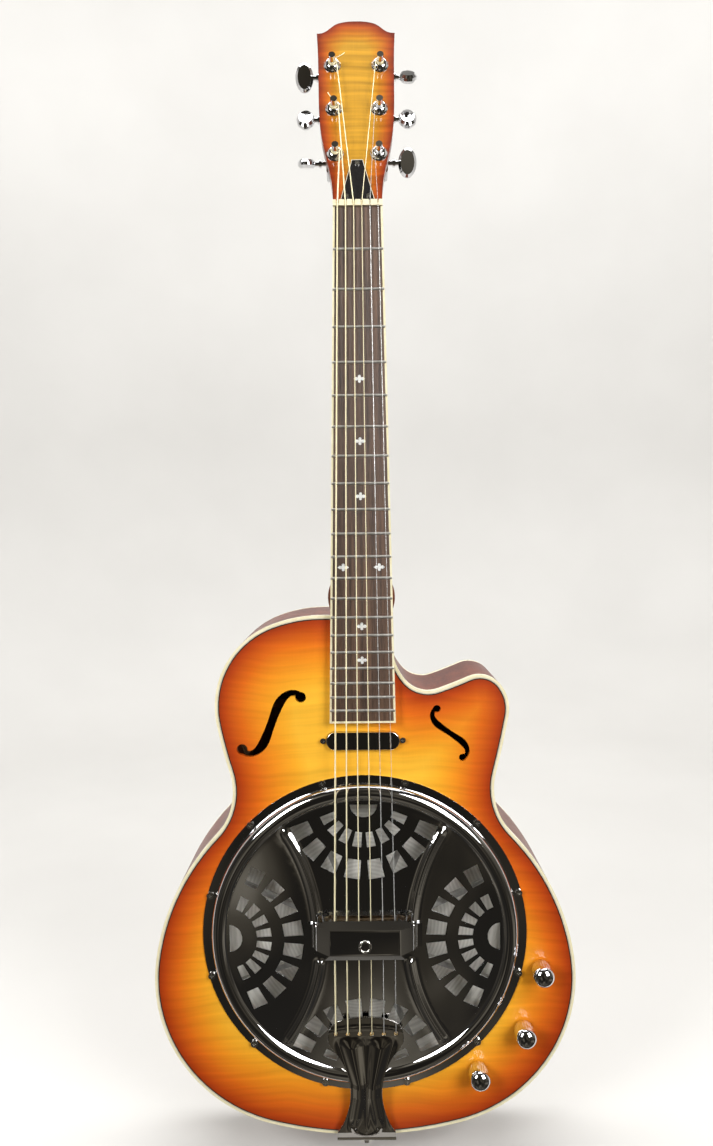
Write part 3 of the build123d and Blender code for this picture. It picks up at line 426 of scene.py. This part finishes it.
# Fretboard: streaky rosewood glued to the neck, with nickel frets pressed into slots, pearl inlays
# let in flush, and a cream nut across its end.
dress("fretboard", wood_finish("rosewood", (0.02, 0.01, 0.006), (0.135, 0.07, 0.038), (420, 60, 9),
                               bump=0.5, Roughness=0.5))
dress("frets", tinted_finish("fret_nickel", (0.62, 0.6, 0.55), (0.75, 0.73, 0.68), 300, 0.3, 0.42,
                             Metallic=0.9))
pearl, tree, shader = new_finish("inlay_pearl", Roughness=0.25, Coat_Weight=0.5, Coat_Roughness=0.08)
shimmer = speckle(tree, object_place(tree, (1, 1, 1.6)), 420.0, 3.0)
pearl_tone = ramp(tree, shimmer, (0.35, (0.55, 0.57, 0.56)), (0.5, (0.82, 0.8, 0.76)),
                  (0.65, (0.66, 0.72, 0.72)))
wire(tree, shader, "Base Color", pearl_tone)
dress("fret_inlays", pearl)
dress("nut", tinted_finish("nut_bone", (0.78, 0.7, 0.47), (0.86, 0.79, 0.58), 150, 0.25, 0.4))

# Coverplate: chromed sheet pressed into a low dome inside a round bead, with four fans of punched
# windows and four raised ridges, screwed down through its flange. The other bright parts share
# its chrome.
haze = bpy.data.node_groups.new("polish_haze", "ShaderNodeTree")
for socket in ("Low", "High"):
    haze.interface.new_socket(socket, in_out="INPUT", socket_type="NodeSocketFloat")
haze.interface.new_socket("Roughness", in_out="OUTPUT", socket_type="NodeSocketFloat")
haze_in = haze.nodes.new("NodeGroupInput")
haze_out = haze.nodes.new("NodeGroupOutput")
smear = speckle(haze, object_place(haze, (1, 1, 0.6)), 26.0, 5.0, 0.6)
dust = speckle(haze, object_place(haze), 900.0, 2.0)
light_dust = add_node(haze, "Math", {0: dust, 1: 0.15}, operation="MULTIPLY").outputs[0]
film = add_node(haze, "Math", {0: smear, 1: light_dust}, operation="ADD").outputs[0]
spread = add_node(haze, "MapRange", {0: film, 1: 0.45, 2: 0.85})
wire(haze, spread, 3, haze_in.outputs["Low"])
wire(haze, spread, 4, haze_in.outputs["High"])
wire(haze, haze_out, "Roughness", spread.outputs[0])


def chrome_finish(name, colour=(0.72, 0.72, 0.73), low=0.03, high=0.1):
    material, tree, shader = new_finish(name, Metallic=1.0)
    film = add_node(tree, "Group", node_tree=haze)
    film.inputs["Low"].default_value = low
    film.inputs["High"].default_value = high
    wire(tree, shader, "Roughness", film.outputs["Roughness"])
    tint = speckle(tree, object_place(tree), 14.0, 2.0)
    dimmer = tuple(0.93 * part for part in colour)
    wire(tree, shader, "Base Color", ramp(tree, tint, (0.3, dimmer), (0.7, colour)))
    return material


chrome = chrome_finish("chrome")
plate_z = (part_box("coverplate")[0].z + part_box("coverplate")[1].z) / 2
plate_r, bead_in, bead_out = 0.149, 0.127, 0.1416
bead_r, bead_y, bead_round = 0.13334, -0.00091, 0.00826
sheet = 0.0011


def dish(r):
    """Depth of the plate's front face at a radius: low dome, round bead, flat flange."""
    if r <= bead_in:
        return -0.0112 + 0.005 * (r / bead_in) ** 2
    if r < bead_out:
        return bead_y - sqrt(max(0.0, bead_round ** 2 - (r - bead_r) ** 2))
    return -0.0012


def window(shape, corners):
    """Cuts a convex opening through a thin sheet; corners are (x, z), turning left."""
    centre = Vector((sum(x for x, z in corners), 0, sum(z for x, z in corners))) / len(corners)
    reach = max(hypot(x - centre.x, z - centre.z) for x, z in corners) + 0.0045
    sides = [((x, 0, z), (z2 - z, 0, x - x2)) for (x, z), (x2, z2) in zip(corners, corners[1:] + corners[:1])]

    def near():
        middles = [(f, f.calc_center_median()) for f in shape.faces]
        return [f for f, at in middles if hypot(at.x - centre.x, at.z - centre.z) < reach]

    def within(face):
        at = face.calc_center_median()
        return all((at - Vector((start[0], at.y, start[2]))).dot(Vector(normal)) < 0
                   for start, normal in sides)

    for at, normal in sides:
        faces = near()
        parts = dict.fromkeys(faces + [e for f in faces for e in f.edges] + [v for f in faces for v in f.verts])
        bmesh.ops.bisect_plane(shape, geom=list(parts), plane_co=at, plane_no=normal, dist=1e-6)
    bmesh.ops.delete(shape, geom=[f for f in near() if within(f)], context="FACES")


plate = bmesh.new()
radii = [0.003 * k for k in range(42)] + [0.1265]
radii += [bead_r - bead_round * cos(angle) for angle in (radians(40 + 9 * k) for k in range(16))]
radii += [bead_out + 0.0002, 0.1455, plate_r]
line = [plate.verts.new((r, dish(r), plate_z)) for r in radii]
for pair in zip(line, line[1:]):
    plate.edges.new(pair)
bmesh.ops.spin(plate, geom=plate.verts[:] + plate.edges[:], cent=(0, 0, plate_z), axis=(0, 1, 0),
               dvec=(0, 0, 0), angle=2 * pi, steps=144, use_merge=True)
bmesh.ops.remove_doubles(plate, verts=plate.verts[:], dist=1e-6)

# ridges run from the palm rest out to the bead, two above and two below
ridge_lines = []
for side in (-1, 1):
    for bend in (((0.043, 0.012), (0.044, 0.045), (0.056, 0.078), (0.072, 0.100)),
                 ((0.041, -0.022), (0.045, -0.052), (0.058, -0.078), (0.072, -0.098))):
        corners = [Vector((side * x, 0, z + plate_z)) for x, z in bend]
        curve = interpolate_bezier(*corners, 24)
        ridge_lines += list(zip(curve, curve[1:]))
ridge_tree = edge_points(ridge_lines, 0.001)


def ridge_gap(point):
    return ridge_tree.find((point.x, 0, point.z))[2]


shortest_edge = 0.0014
ridge_height, ridge_width, ridge_fade = 0.0026, 0.0036, 0.008
for finer in (0.010, 0.007):
    near_ridge = [e for e in plate.edges if e.calc_length() > shortest_edge
                  and ridge_gap((e.verts[0].co + e.verts[1].co) / 2) < finer]
    bmesh.ops.subdivide_edges(plate, edges=near_ridge, cuts=1, use_grid_fill=True)
for v in plate.verts:
    gap = ridge_gap(v.co)
    radial = hypot(v.co.x, v.co.z - plate_z)
    fade = min(1.0, max(0.0, (bead_in - radial) / ridge_fade))
    v.co.y = dish(radial) - ridge_height * exp(-(gap / ridge_width) ** 2) * fade

fan_rows = ((0.0353, 0.0067, 0.0030, 0.0041), (0.0623, 0.00875, 0.00575, 0.00725))
fan_centre = 0.127
first_spread, spread_step = -64.3, 18.37
for quarter in range(4):
    def fan_spot(along, across, spread=0.0):
        """Point of a fan: along and across its own ray, turned to its side of the plate."""
        ray = radians(180 + spread)
        x = fan_centre + along * cos(ray) - across * sin(ray)
        z = along * sin(ray) + across * cos(ray)
        turn = radians(90 * quarter)
        return x * cos(turn) - z * sin(turn), x * sin(turn) + z * cos(turn) + plate_z

    for reach, half_long, half_inner, half_outer in fan_rows:
        for step in range(8):
            spread = first_spread + spread_step * step
            inner, outer = reach - half_long, reach + half_long
            window(plate, [fan_spot(inner, -half_inner, spread), fan_spot(outer, -half_outer, spread),
                           fan_spot(outer, half_outer, spread), fan_spot(inner, half_inner, spread)])
    moon = [(0.0035 + 0.0115 * sin(angle), 0.0125 * cos(angle)) for angle in (pi * k / 9 for k in range(10))]
    window(plate, [fan_spot(along, -across) for along, across in moon])
# the slot under the palm rest, through which the saddle stands
slot_half, slot_low, slot_high = 0.032, -0.651, -0.643
window(plate, [(-slot_half, slot_low), (slot_half, slot_low),
               (slot_half, slot_high), (-slot_half, slot_high)])
bmesh.ops.recalc_face_normals(plate, faces=plate.faces[:])
if sum(f.normal.y * f.calc_area() for f in plate.faces) > 0:
    bmesh.ops.reverse_faces(plate, faces=plate.faces[:])
bmesh.ops.solidify(plate, geom=plate.faces[:], thickness=sheet)
coverplate = mesh_object("coverplate_pressing", plate, keep_flat=32)
edges = coverplate.modifiers.new("pressed_edges", "BEVEL")
edges.width, edges.segments, edges.limit_method, edges.angle_limit = 0.00028, 2, "ANGLE", radians(50)
edges.harden_normals = True
coverplate.data.materials.append(chrome)
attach(coverplate, "guitar")
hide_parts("coverplate")

nickel = chrome_finish("bright_nickel", (0.92, 0.9, 0.85), 0.16, 0.26)
for node in ("coverplate_screws", "trim_screws", "tension_screw", "strap_buttons", "output_jack"):
    dress(node, nickel)

# Resonator: a cone spun from thin aluminium lies in the soundwell, and a cast spider stands on its
# rim and carries the maple saddle. They show only through the windows.
spun, tree, shader = new_finish("spun_aluminium", Metallic=0.15)
cone_place = add_node(tree, "VectorMath", {0: object_place(tree), 1: (0, 0, -plate_z)}, operation="ADD")
parts = add_node(tree, "SeparateXYZ", {0: cone_place.outputs[0]})
flat_place = add_node(tree, "CombineXYZ", {"X": parts.outputs["X"], "Y": parts.outputs["Z"]}).outputs[0]
rings = add_node(tree, "TexWave", {"Vector": flat_place, "Scale": 90.0, "Distortion": 0.6, "Detail": 3.0},
                 wave_type="RINGS", rings_direction="SPHERICAL").outputs["Fac"]
# the rings are painted darker in their grooves and lighter on their ridges, in step with the bump: painted
# shade and painted highlight
wire(tree, shader, "Base Color", ramp(tree, rings, (0.2, (0.8, 0.78, 0.72)), (0.8, (0.93, 0.91, 0.85))))
wire(tree, shader, "Roughness", add_node(tree, "MapRange", {0: rings, 3: 0.34, 4: 0.5}).outputs[0])
grooves = add_node(tree, "Bump", {"Strength": 0.25, "Distance": 0.0003, "Height": rings})
wire(tree, shader, "Normal", grooves.outputs[0])
dress("resonator_cone", spun)
dress("spider_bridge", tinted_finish("cast_aluminium", (0.36, 0.35, 0.33), (0.46, 0.45, 0.42), 500, 0.4, 0.6,
                                     Metallic=0.8))
dress("saddle", wood_finish("saddle_maple", (0.5, 0.33, 0.17), (0.64, 0.46, 0.27), (20, 200, 200),
                            Roughness=0.5))

# Palm rest: chromed sheet folded over the saddle, open at both ends for the strings, its feet on the
# coverplate. A nickel grommet lines the hole above the tension screw.
rest_front, rest_half, rest_top, rest_bottom = -0.0275, 0.031, -0.6345, -0.6563
rest_side = [(rest_half, rest_front), (0.044, -0.019), (0.047, -0.0126), (0.052, -0.0126)]
rest = bmesh.new()


def pulled(points, way):
    """Draws a line of points and extrudes it; returns the new vertices."""
    line = [rest.verts.new(point) for point in points]
    edges = [rest.edges.new(pair) for pair in zip(line, line[1:])]
    drawn = bmesh.ops.extrude_edge_only(rest, edges=edges)["geom"]
    moved = [v for v in drawn if isinstance(v, bmesh.types.BMVert)]
    bmesh.ops.translate(rest, verts=moved, vec=way)
    return moved


cross_section = [(-x, y, rest_top) for x, y in reversed(rest_side)] + [(x, y, rest_top) for x, y in rest_side]
pulled(cross_section, (0, 0, rest_bottom - rest_top))
tail_edge = [(-rest_half, rest_front, rest_bottom), (rest_half, rest_front, rest_bottom)]
tail_flap_half = 0.036
for v in pulled(tail_edge, (0, 0.0035, -0.0061)):
    v.co.x *= tail_flap_half / rest_half
nut_flap = [(rest_half, 0), (0.044, 0.0032), (0.037, 0.0065)]
nut_flap += [(-x, drop) for x, drop in reversed(nut_flap)]
rest.faces.new([rest.verts.new((x, rest_front + drop, rest_top + drop)) for x, drop in nut_flap])
bmesh.ops.remove_doubles(rest, verts=rest.verts[:], dist=1e-6)
bmesh.ops.recalc_face_normals(rest, faces=rest.faces[:])
if sum(f.normal.y * f.calc_area() for f in rest.faces) > 0:
    bmesh.ops.reverse_faces(rest, faces=rest.faces[:])
folds = [e for e in rest.edges if len(e.link_faces) == 2 and e.calc_face_angle() > 0.2]
bmesh.ops.bevel(rest, geom=folds, offset=0.0012, segments=4, profile=0.5, affect="EDGES", material=-1,
                clamp_overlap=True)
hole_z, hole_r = -0.6485, 0.0045
window(rest, [(hole_r * cos(a), hole_z + hole_r * sin(a)) for a in (2 * pi * k / 24 for k in range(24))])
bmesh.ops.solidify(rest, geom=rest.faces[:], thickness=0.0012)
palm_rest = mesh_object("palm_rest_cover", rest, keep_flat=24)
even = palm_rest.modifiers.new("even_normals", "WEIGHTED_NORMAL")
even.keep_sharp = True
palm_rest.data.materials.append(chrome)
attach(palm_rest, "guitar")
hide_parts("palm_rest")


def turned(profile, place, axis, steps=48, side=(1, 0, 0)):
    """Round piece spun about an axis; profile is (radius, height along the axis)."""
    shape = bmesh.new()
    up = Vector(axis).normalized()
    out = (Vector(side) - Vector(side).dot(up) * up).normalized()
    line = [shape.verts.new(Vector(place) + up * h + out * r) for r, h in profile]
    for pair in zip(line, line[1:]):
        shape.edges.new(pair)
    bmesh.ops.spin(shape, geom=shape.verts[:] + shape.edges[:], cent=place, axis=up,
                   dvec=(0, 0, 0), angle=2 * pi, steps=steps, use_merge=True)
    bmesh.ops.remove_doubles(shape, verts=shape.verts[:], dist=2e-6)
    bmesh.ops.recalc_face_normals(shape, faces=shape.faces[:])
    return shape


eyelet = [(0.0038, -0.0024), (0.0038, 0.0002), (0.0042, 0.0007), (0.0048, 0.0009), (0.0056, 0.0007),
          (0.006, 0.0002), (0.006, -0.0003), (0.0048, -0.0003), (0.0048, -0.0024), (0.0038, -0.0024)]
grommet = mesh_object("rest_grommet", turned(eyelet, (0, rest_front, hole_z), (0, -1, 0)), keep_flat=40)
grommet.data.materials.append(nickel)
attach(grommet, "guitar")

# Tailpiece: one chromed stamping that hooks the strings and folds over the end of the body. It is
# pressed into two rounded ribs with a valley between, which stiffen it.
tail = cad_copy("tailpiece")
cut_fine(tail, 0.0009)


def band(gap, height, width, power=2):
    """Height of a rounded ridge at a distance from its middle; a higher power gives a flatter top."""
    return height * exp(-abs(gap / width) ** power)


def part_way(value, start, end):
    return min(1.0, max(0.0, (value - start) / (end - start)))


for v in tail.verts:
    x, z = abs(v.co.x), v.co.z
    if v.co.y > 0.001 or z < -0.8465:
        continue
    arms = part_way(z, -0.741, -0.750) * part_way(z, -0.838, -0.822)
    run = part_way(z, -0.748, -0.786)
    flare = max(0.0, -0.800 - z) * 0.16
    ridge = band(x - 0.0138 + 0.0072 * run - flare, 0.0026, 0.0068 - 0.0026 * run)
    valley = band(x, 0.0024 - 0.0012 * run, 0.0058 - 0.0042 * run)
    lip = band(x - 0.0243 + 0.0105 * run - flare, 0.0011, 0.0030)
    crescent = band(hypot(x / 1.3, z + 0.832) - 0.0092, 0.0014, 0.0013) if z < -0.832 else 0.0
    arch = z + 0.7300 + 3.3 * x * x
    lines = band(arch, 0.0005, 0.0006) + band(arch + 0.0024, 0.0005, 0.0006) if z > -0.741 else 0.0
    v.co.y -= arms * (ridge - valley - lip) + crescent + lines
tailpiece = mesh_object("tailpiece_stamping", tail, keep_flat=48)
# a darker copy of the chrome: painted shade that dims the tailpiece's reflections
tailpiece.data.materials.append(chrome_finish("shaded_chrome_tailpiece", (0.55, 0.53, 0.5)))
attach(tailpiece, "guitar")
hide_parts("tailpiece")

# Strings: four bronze-wound and two plain steel, held by brass ball ends in the tailpiece and
# wrapped on their posts. The wraps are pieces of their own, which turn with the posts.
wound, tree, shader = new_finish("wound_bronze", Metallic=0.3)
turns = add_node(tree, "TexWave", {"Vector": object_place(tree), "Scale": 900.0, "Distortion": 0.3},
                 bands_direction="Z").outputs["Fac"]
# the colour is painted darker between the turns and lighter on their crests, in step with the bump: painted
# shade and painted highlight
wire(tree, shader, "Base Color", ramp(tree, turns, (0.2, (0.85, 0.74, 0.42)), (0.8, (1.0, 0.93, 0.66))))
wire(tree, shader, "Roughness", add_node(tree, "MapRange", {0: turns, 3: 0.3, 4: 0.42}).outputs[0])
winding_relief = add_node(tree, "Bump", {"Strength": 0.5, "Distance": 0.0001, "Height": turns})
wire(tree, shader, "Normal", winding_relief.outputs[0])
plain = tinted_finish("plain_steel", (0.86, 0.86, 0.84), (0.95, 0.95, 0.93), 200, 0.22, 0.32, Metallic=0.5)
dress("strings_wound", wound)
dress("strings_plain", plain)
dress("string_ball_ends", tinted_finish("ball_brass", (0.66, 0.46, 0.2), (0.78, 0.58, 0.28), 800, 0.2, 0.35,
                                        Metallic=1.0))

head_start = Vector((0, -0.001, 0.005))
post_places = [(0.0192, 0.0486), (0.0202, 0.0940), (0.0215, 0.1385)]
gauges = [0.00068, 0.00056, 0.00044, 0.00034, 0.00022, 0.00017]
post_radius, wrap_top, wrap_foot, coil_points = 0.0026, 0.0058, 0.0034, 22


def tube(name, route, radius):
    """Round bar along a smooth route, closed at both ends."""
    curve = bpy.data.curves.new(name, "CURVE")
    curve.dimensions = "3D"
    curve.bevel_depth, curve.bevel_resolution, curve.use_fill_caps = radius, 2, True
    spline = curve.splines.new("NURBS")
    spline.points.add(len(route) - 1)
    for point, place in zip(spline.points, route):
        point.co = (*place, 1)
    spline.order_u = 3
    spline.use_endpoint_u = True
    bar = bpy.data.objects.new(name, curve)
    shape = bmesh.new()
    shape.from_mesh(bpy.data.meshes.new_from_object(bar))
    bpy.data.objects.remove(bar)
    bmesh.ops.remove_doubles(shape, verts=shape.verts[:], dist=1e-6)
    return shape


for number, gauge in enumerate(gauges):
    across, along = post_places[min(number, 5 - number)]
    side = -1 if number < 3 else 1
    centre = head_start + Vector((side * across, 0, 0)) + head_up * along
    coils = 3 if number < 4 else 4
    pitch_share = 0.75 if number < 4 else 1.0
    radius = post_radius + gauge
    wrap = []
    for k in range(coil_points * coils + 1):
        turn = -side * 2 * pi * k / coil_points
        height = wrap_top - (2 * gauge + 0.0001) * k / coil_points * pitch_share
        around_post = Vector((1, 0, 0)) * cos(turn) + head_up * sin(turn)
        wrap.append(centre + head_out * max(height, wrap_foot) + radius * around_post)
    winding = mesh_object(f"string_wrap_{number + 1}", tube("wrap", wrap, gauge), keep_flat=60)
    winding.data.materials.append(wound if number < 4 else plain)
    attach(winding, f"post_{number + 1}")

# the spare ends of the second and third strings stand out from their posts
for number, bend in ((1, ((-0.0012, 0.003), (-0.0035, 0.0065), (-0.0052, 0.0095))),
                     (2, ((0.003, 0.0005), (0.0075, 0.0022), (0.0115, 0.0055)))):
    across, along = post_places[number]
    centre = head_start + Vector((-across, 0, 0)) + head_up * along
    route = [centre + head_out * 0.007]
    route += [centre + Vector((x, 0, 0)) + head_up * up + head_out * 0.0085 for x, up in bend]
    spare = mesh_object(f"string_end_{number + 1}", tube("spare", route, 0.7 * gauges[number]), keep_flat=60)
    spare.data.materials.append(wound)
    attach(spare, f"post_{number + 1}")

# Tuners: each has a chromed housing screwed behind the headstock, a domed bushing in its face, a
# capped post, and an oval button on the worm shaft that turns the post.
bushing_dome = [(0.00305, 0.0), (0.0076, 0.0), (0.0076, 0.0006), (0.0073, 0.001), (0.0070, 0.0012),
                (0.0066, 0.0022), (0.0060, 0.0031), (0.0052, 0.0039), (0.0046, 0.0044), (0.0036, 0.0045),
                (0.00305, 0.0042), (0.00305, 0.0)]
bushings = bmesh.new()
for across, along in post_places:
    for side in (-1, 1):
        place = head_start + Vector((side * across, 0, 0)) + head_up * along
        ring = turned(bushing_dome, place, head_out, steps=40)
        made = bpy.data.meshes.new("bushing")
        ring.to_mesh(made)
        bushings.from_mesh(made)
        ring.free()
bushing_set = mesh_object("post_bushings", bushings, keep_flat=35)
bushing_set.data.materials.append(chrome)
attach(bushing_set, "guitar")
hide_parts("tuner_bushings")
dress("tuner_housings", chrome)
for number in range(1, 7):
    dress(f"string_post_{number}", chrome)
    dress(f"tuner_knob_{number}", chrome)

# Control knobs: turned caps, domed, knurled on the sides and chromed, each pushed on the shaft of
# its pot, which comes up through the top. The pots and their leads are out of sight below.
pot_steel = tinted_finish("pot_steel", (0.4, 0.39, 0.37), (0.52, 0.51, 0.48), 120, 0.3, 0.45, Metallic=1.0)
knurl_count, knurl_depth = 30, 0.02
for number in range(1, 4):
    low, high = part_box(f"control_knob_{number}")
    centre = Vector(((low.x + high.x) / 2, high.y, (low.z + high.z) / 2))
    tall, radius = high.y - low.y, (high.x - low.x) / 2
    profile = [(0.003, 0.0), (radius - 0.0004, 0.0), (radius, 0.0006)]
    profile += [(radius, 0.001 + (tall * 0.62 - 0.001) * k / 4) for k in range(1, 5)]
    dome_angles = [radians(12 + 13 * k) for k in range(7)]
    profile += [(radius * cos(a), tall * 0.66 + tall * 0.34 * sin(a)) for a in dome_angles]
    profile = profile[:-1] + [(0.0, tall)]
    knob = turned(profile, centre, (0, -1, 0), steps=120)
    for v in knob.verts:
        height = centre.y - v.co.y
        radial = hypot(v.co.x - centre.x, v.co.z - centre.z)
        if radius * 0.97 < radial and 0.0008 < height < tall * 0.64:
            turn = atan2(v.co.z - centre.z, v.co.x - centre.x)
            shrink = 1 - knurl_depth * (1 + cos(knurl_count * turn))
            v.co.x = centre.x + (v.co.x - centre.x) * shrink
            v.co.z = centre.z + (v.co.z - centre.z) * shrink
    made = mesh_object(f"knurled_knob_{number}", knob, keep_flat=40)
    made.data.materials.append(chrome)
    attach(made, f"control_{number}")
    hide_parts(f"control_knob_{number}")
    dress(f"pot_shaft_{number}", pot_steel)
dress("pot_bodies", pot_steel)
dress("wiring", tinted_finish("lead_sleeve", (0.02, 0.02, 0.02), (0.035, 0.034, 0.032), 300, 0.5, 0.65))

# Pickup: a slim chromed cover over a black core, let into the top at the end of the fretboard and
# screwed down at its two ears.
dress("pickup_cover", chrome)
dress("pickup_core", tinted_finish("pickup_core", (0.015, 0.015, 0.015), (0.03, 0.03, 0.03), 200, 0.4, 0.6))

# Truss rod cover: black plastic with a pale ply edge, screwed at three points over the nut of the
# steel rod in the neck. The bolts that hold the neck to the body are of the same steel.
cover_shape = cad_copy("truss_rod_cover")
cut_fine(cover_shape, 0.0009)
cover_screws = ((0, 0.0375), (0.0098, 0.0055), (-0.0098, 0.0055))
cover_edges = []
for edge in cover_shape.edges:
    if len(edge.link_faces) == 2 and edge.calc_face_angle() > 0.8:
        a, b = (v.co.copy() for v in edge.verts)
        centre = (a + b) / 2
        rise = centre.z - head_start.z
        if all(hypot(centre.x - x, rise - up * cos(lean)) > 0.0035 for x, up in cover_screws):
            cover_edges.append((a, b))
rod_cover = mesh_object("rod_cover", cover_shape, keep_flat=30, flat_way=head_out)
store_rim(rod_cover, edge_points(cover_edges, 0.0004))
ply, tree, shader = new_finish("black_white_ply", Coat_Weight=0.3, Coat_Roughness=0.1)
edge_share = add_node(tree, "Attribute", attribute_name="rim").outputs["Fac"]
in_millimetres = add_node(tree, "Math", {0: edge_share, 1: 1000.0}, operation="MULTIPLY").outputs[0]
ply_tone = ramp(tree, in_millimetres, (0.35, (0.75, 0.7, 0.55)), (0.6, (0.014, 0.013, 0.013)))
wire(tree, shader, "Base Color", ply_tone)
scuffs = speckle(tree, object_place(tree), 260.0, 4.0)
wire(tree, shader, "Roughness", add_node(tree, "MapRange", {0: scuffs, 3: 0.15, 4: 0.32}).outputs[0])
rod_cover.data.materials.append(ply)
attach(rod_cover, "guitar")
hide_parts("truss_rod_cover")
rod_steel = tinted_finish("rod_steel", (0.36, 0.35, 0.34), (0.48, 0.47, 0.45), 90, 0.35, 0.5, Metallic=1.0)
dress("truss_rod", rod_steel)
dress("neck_bolts", rod_steel)
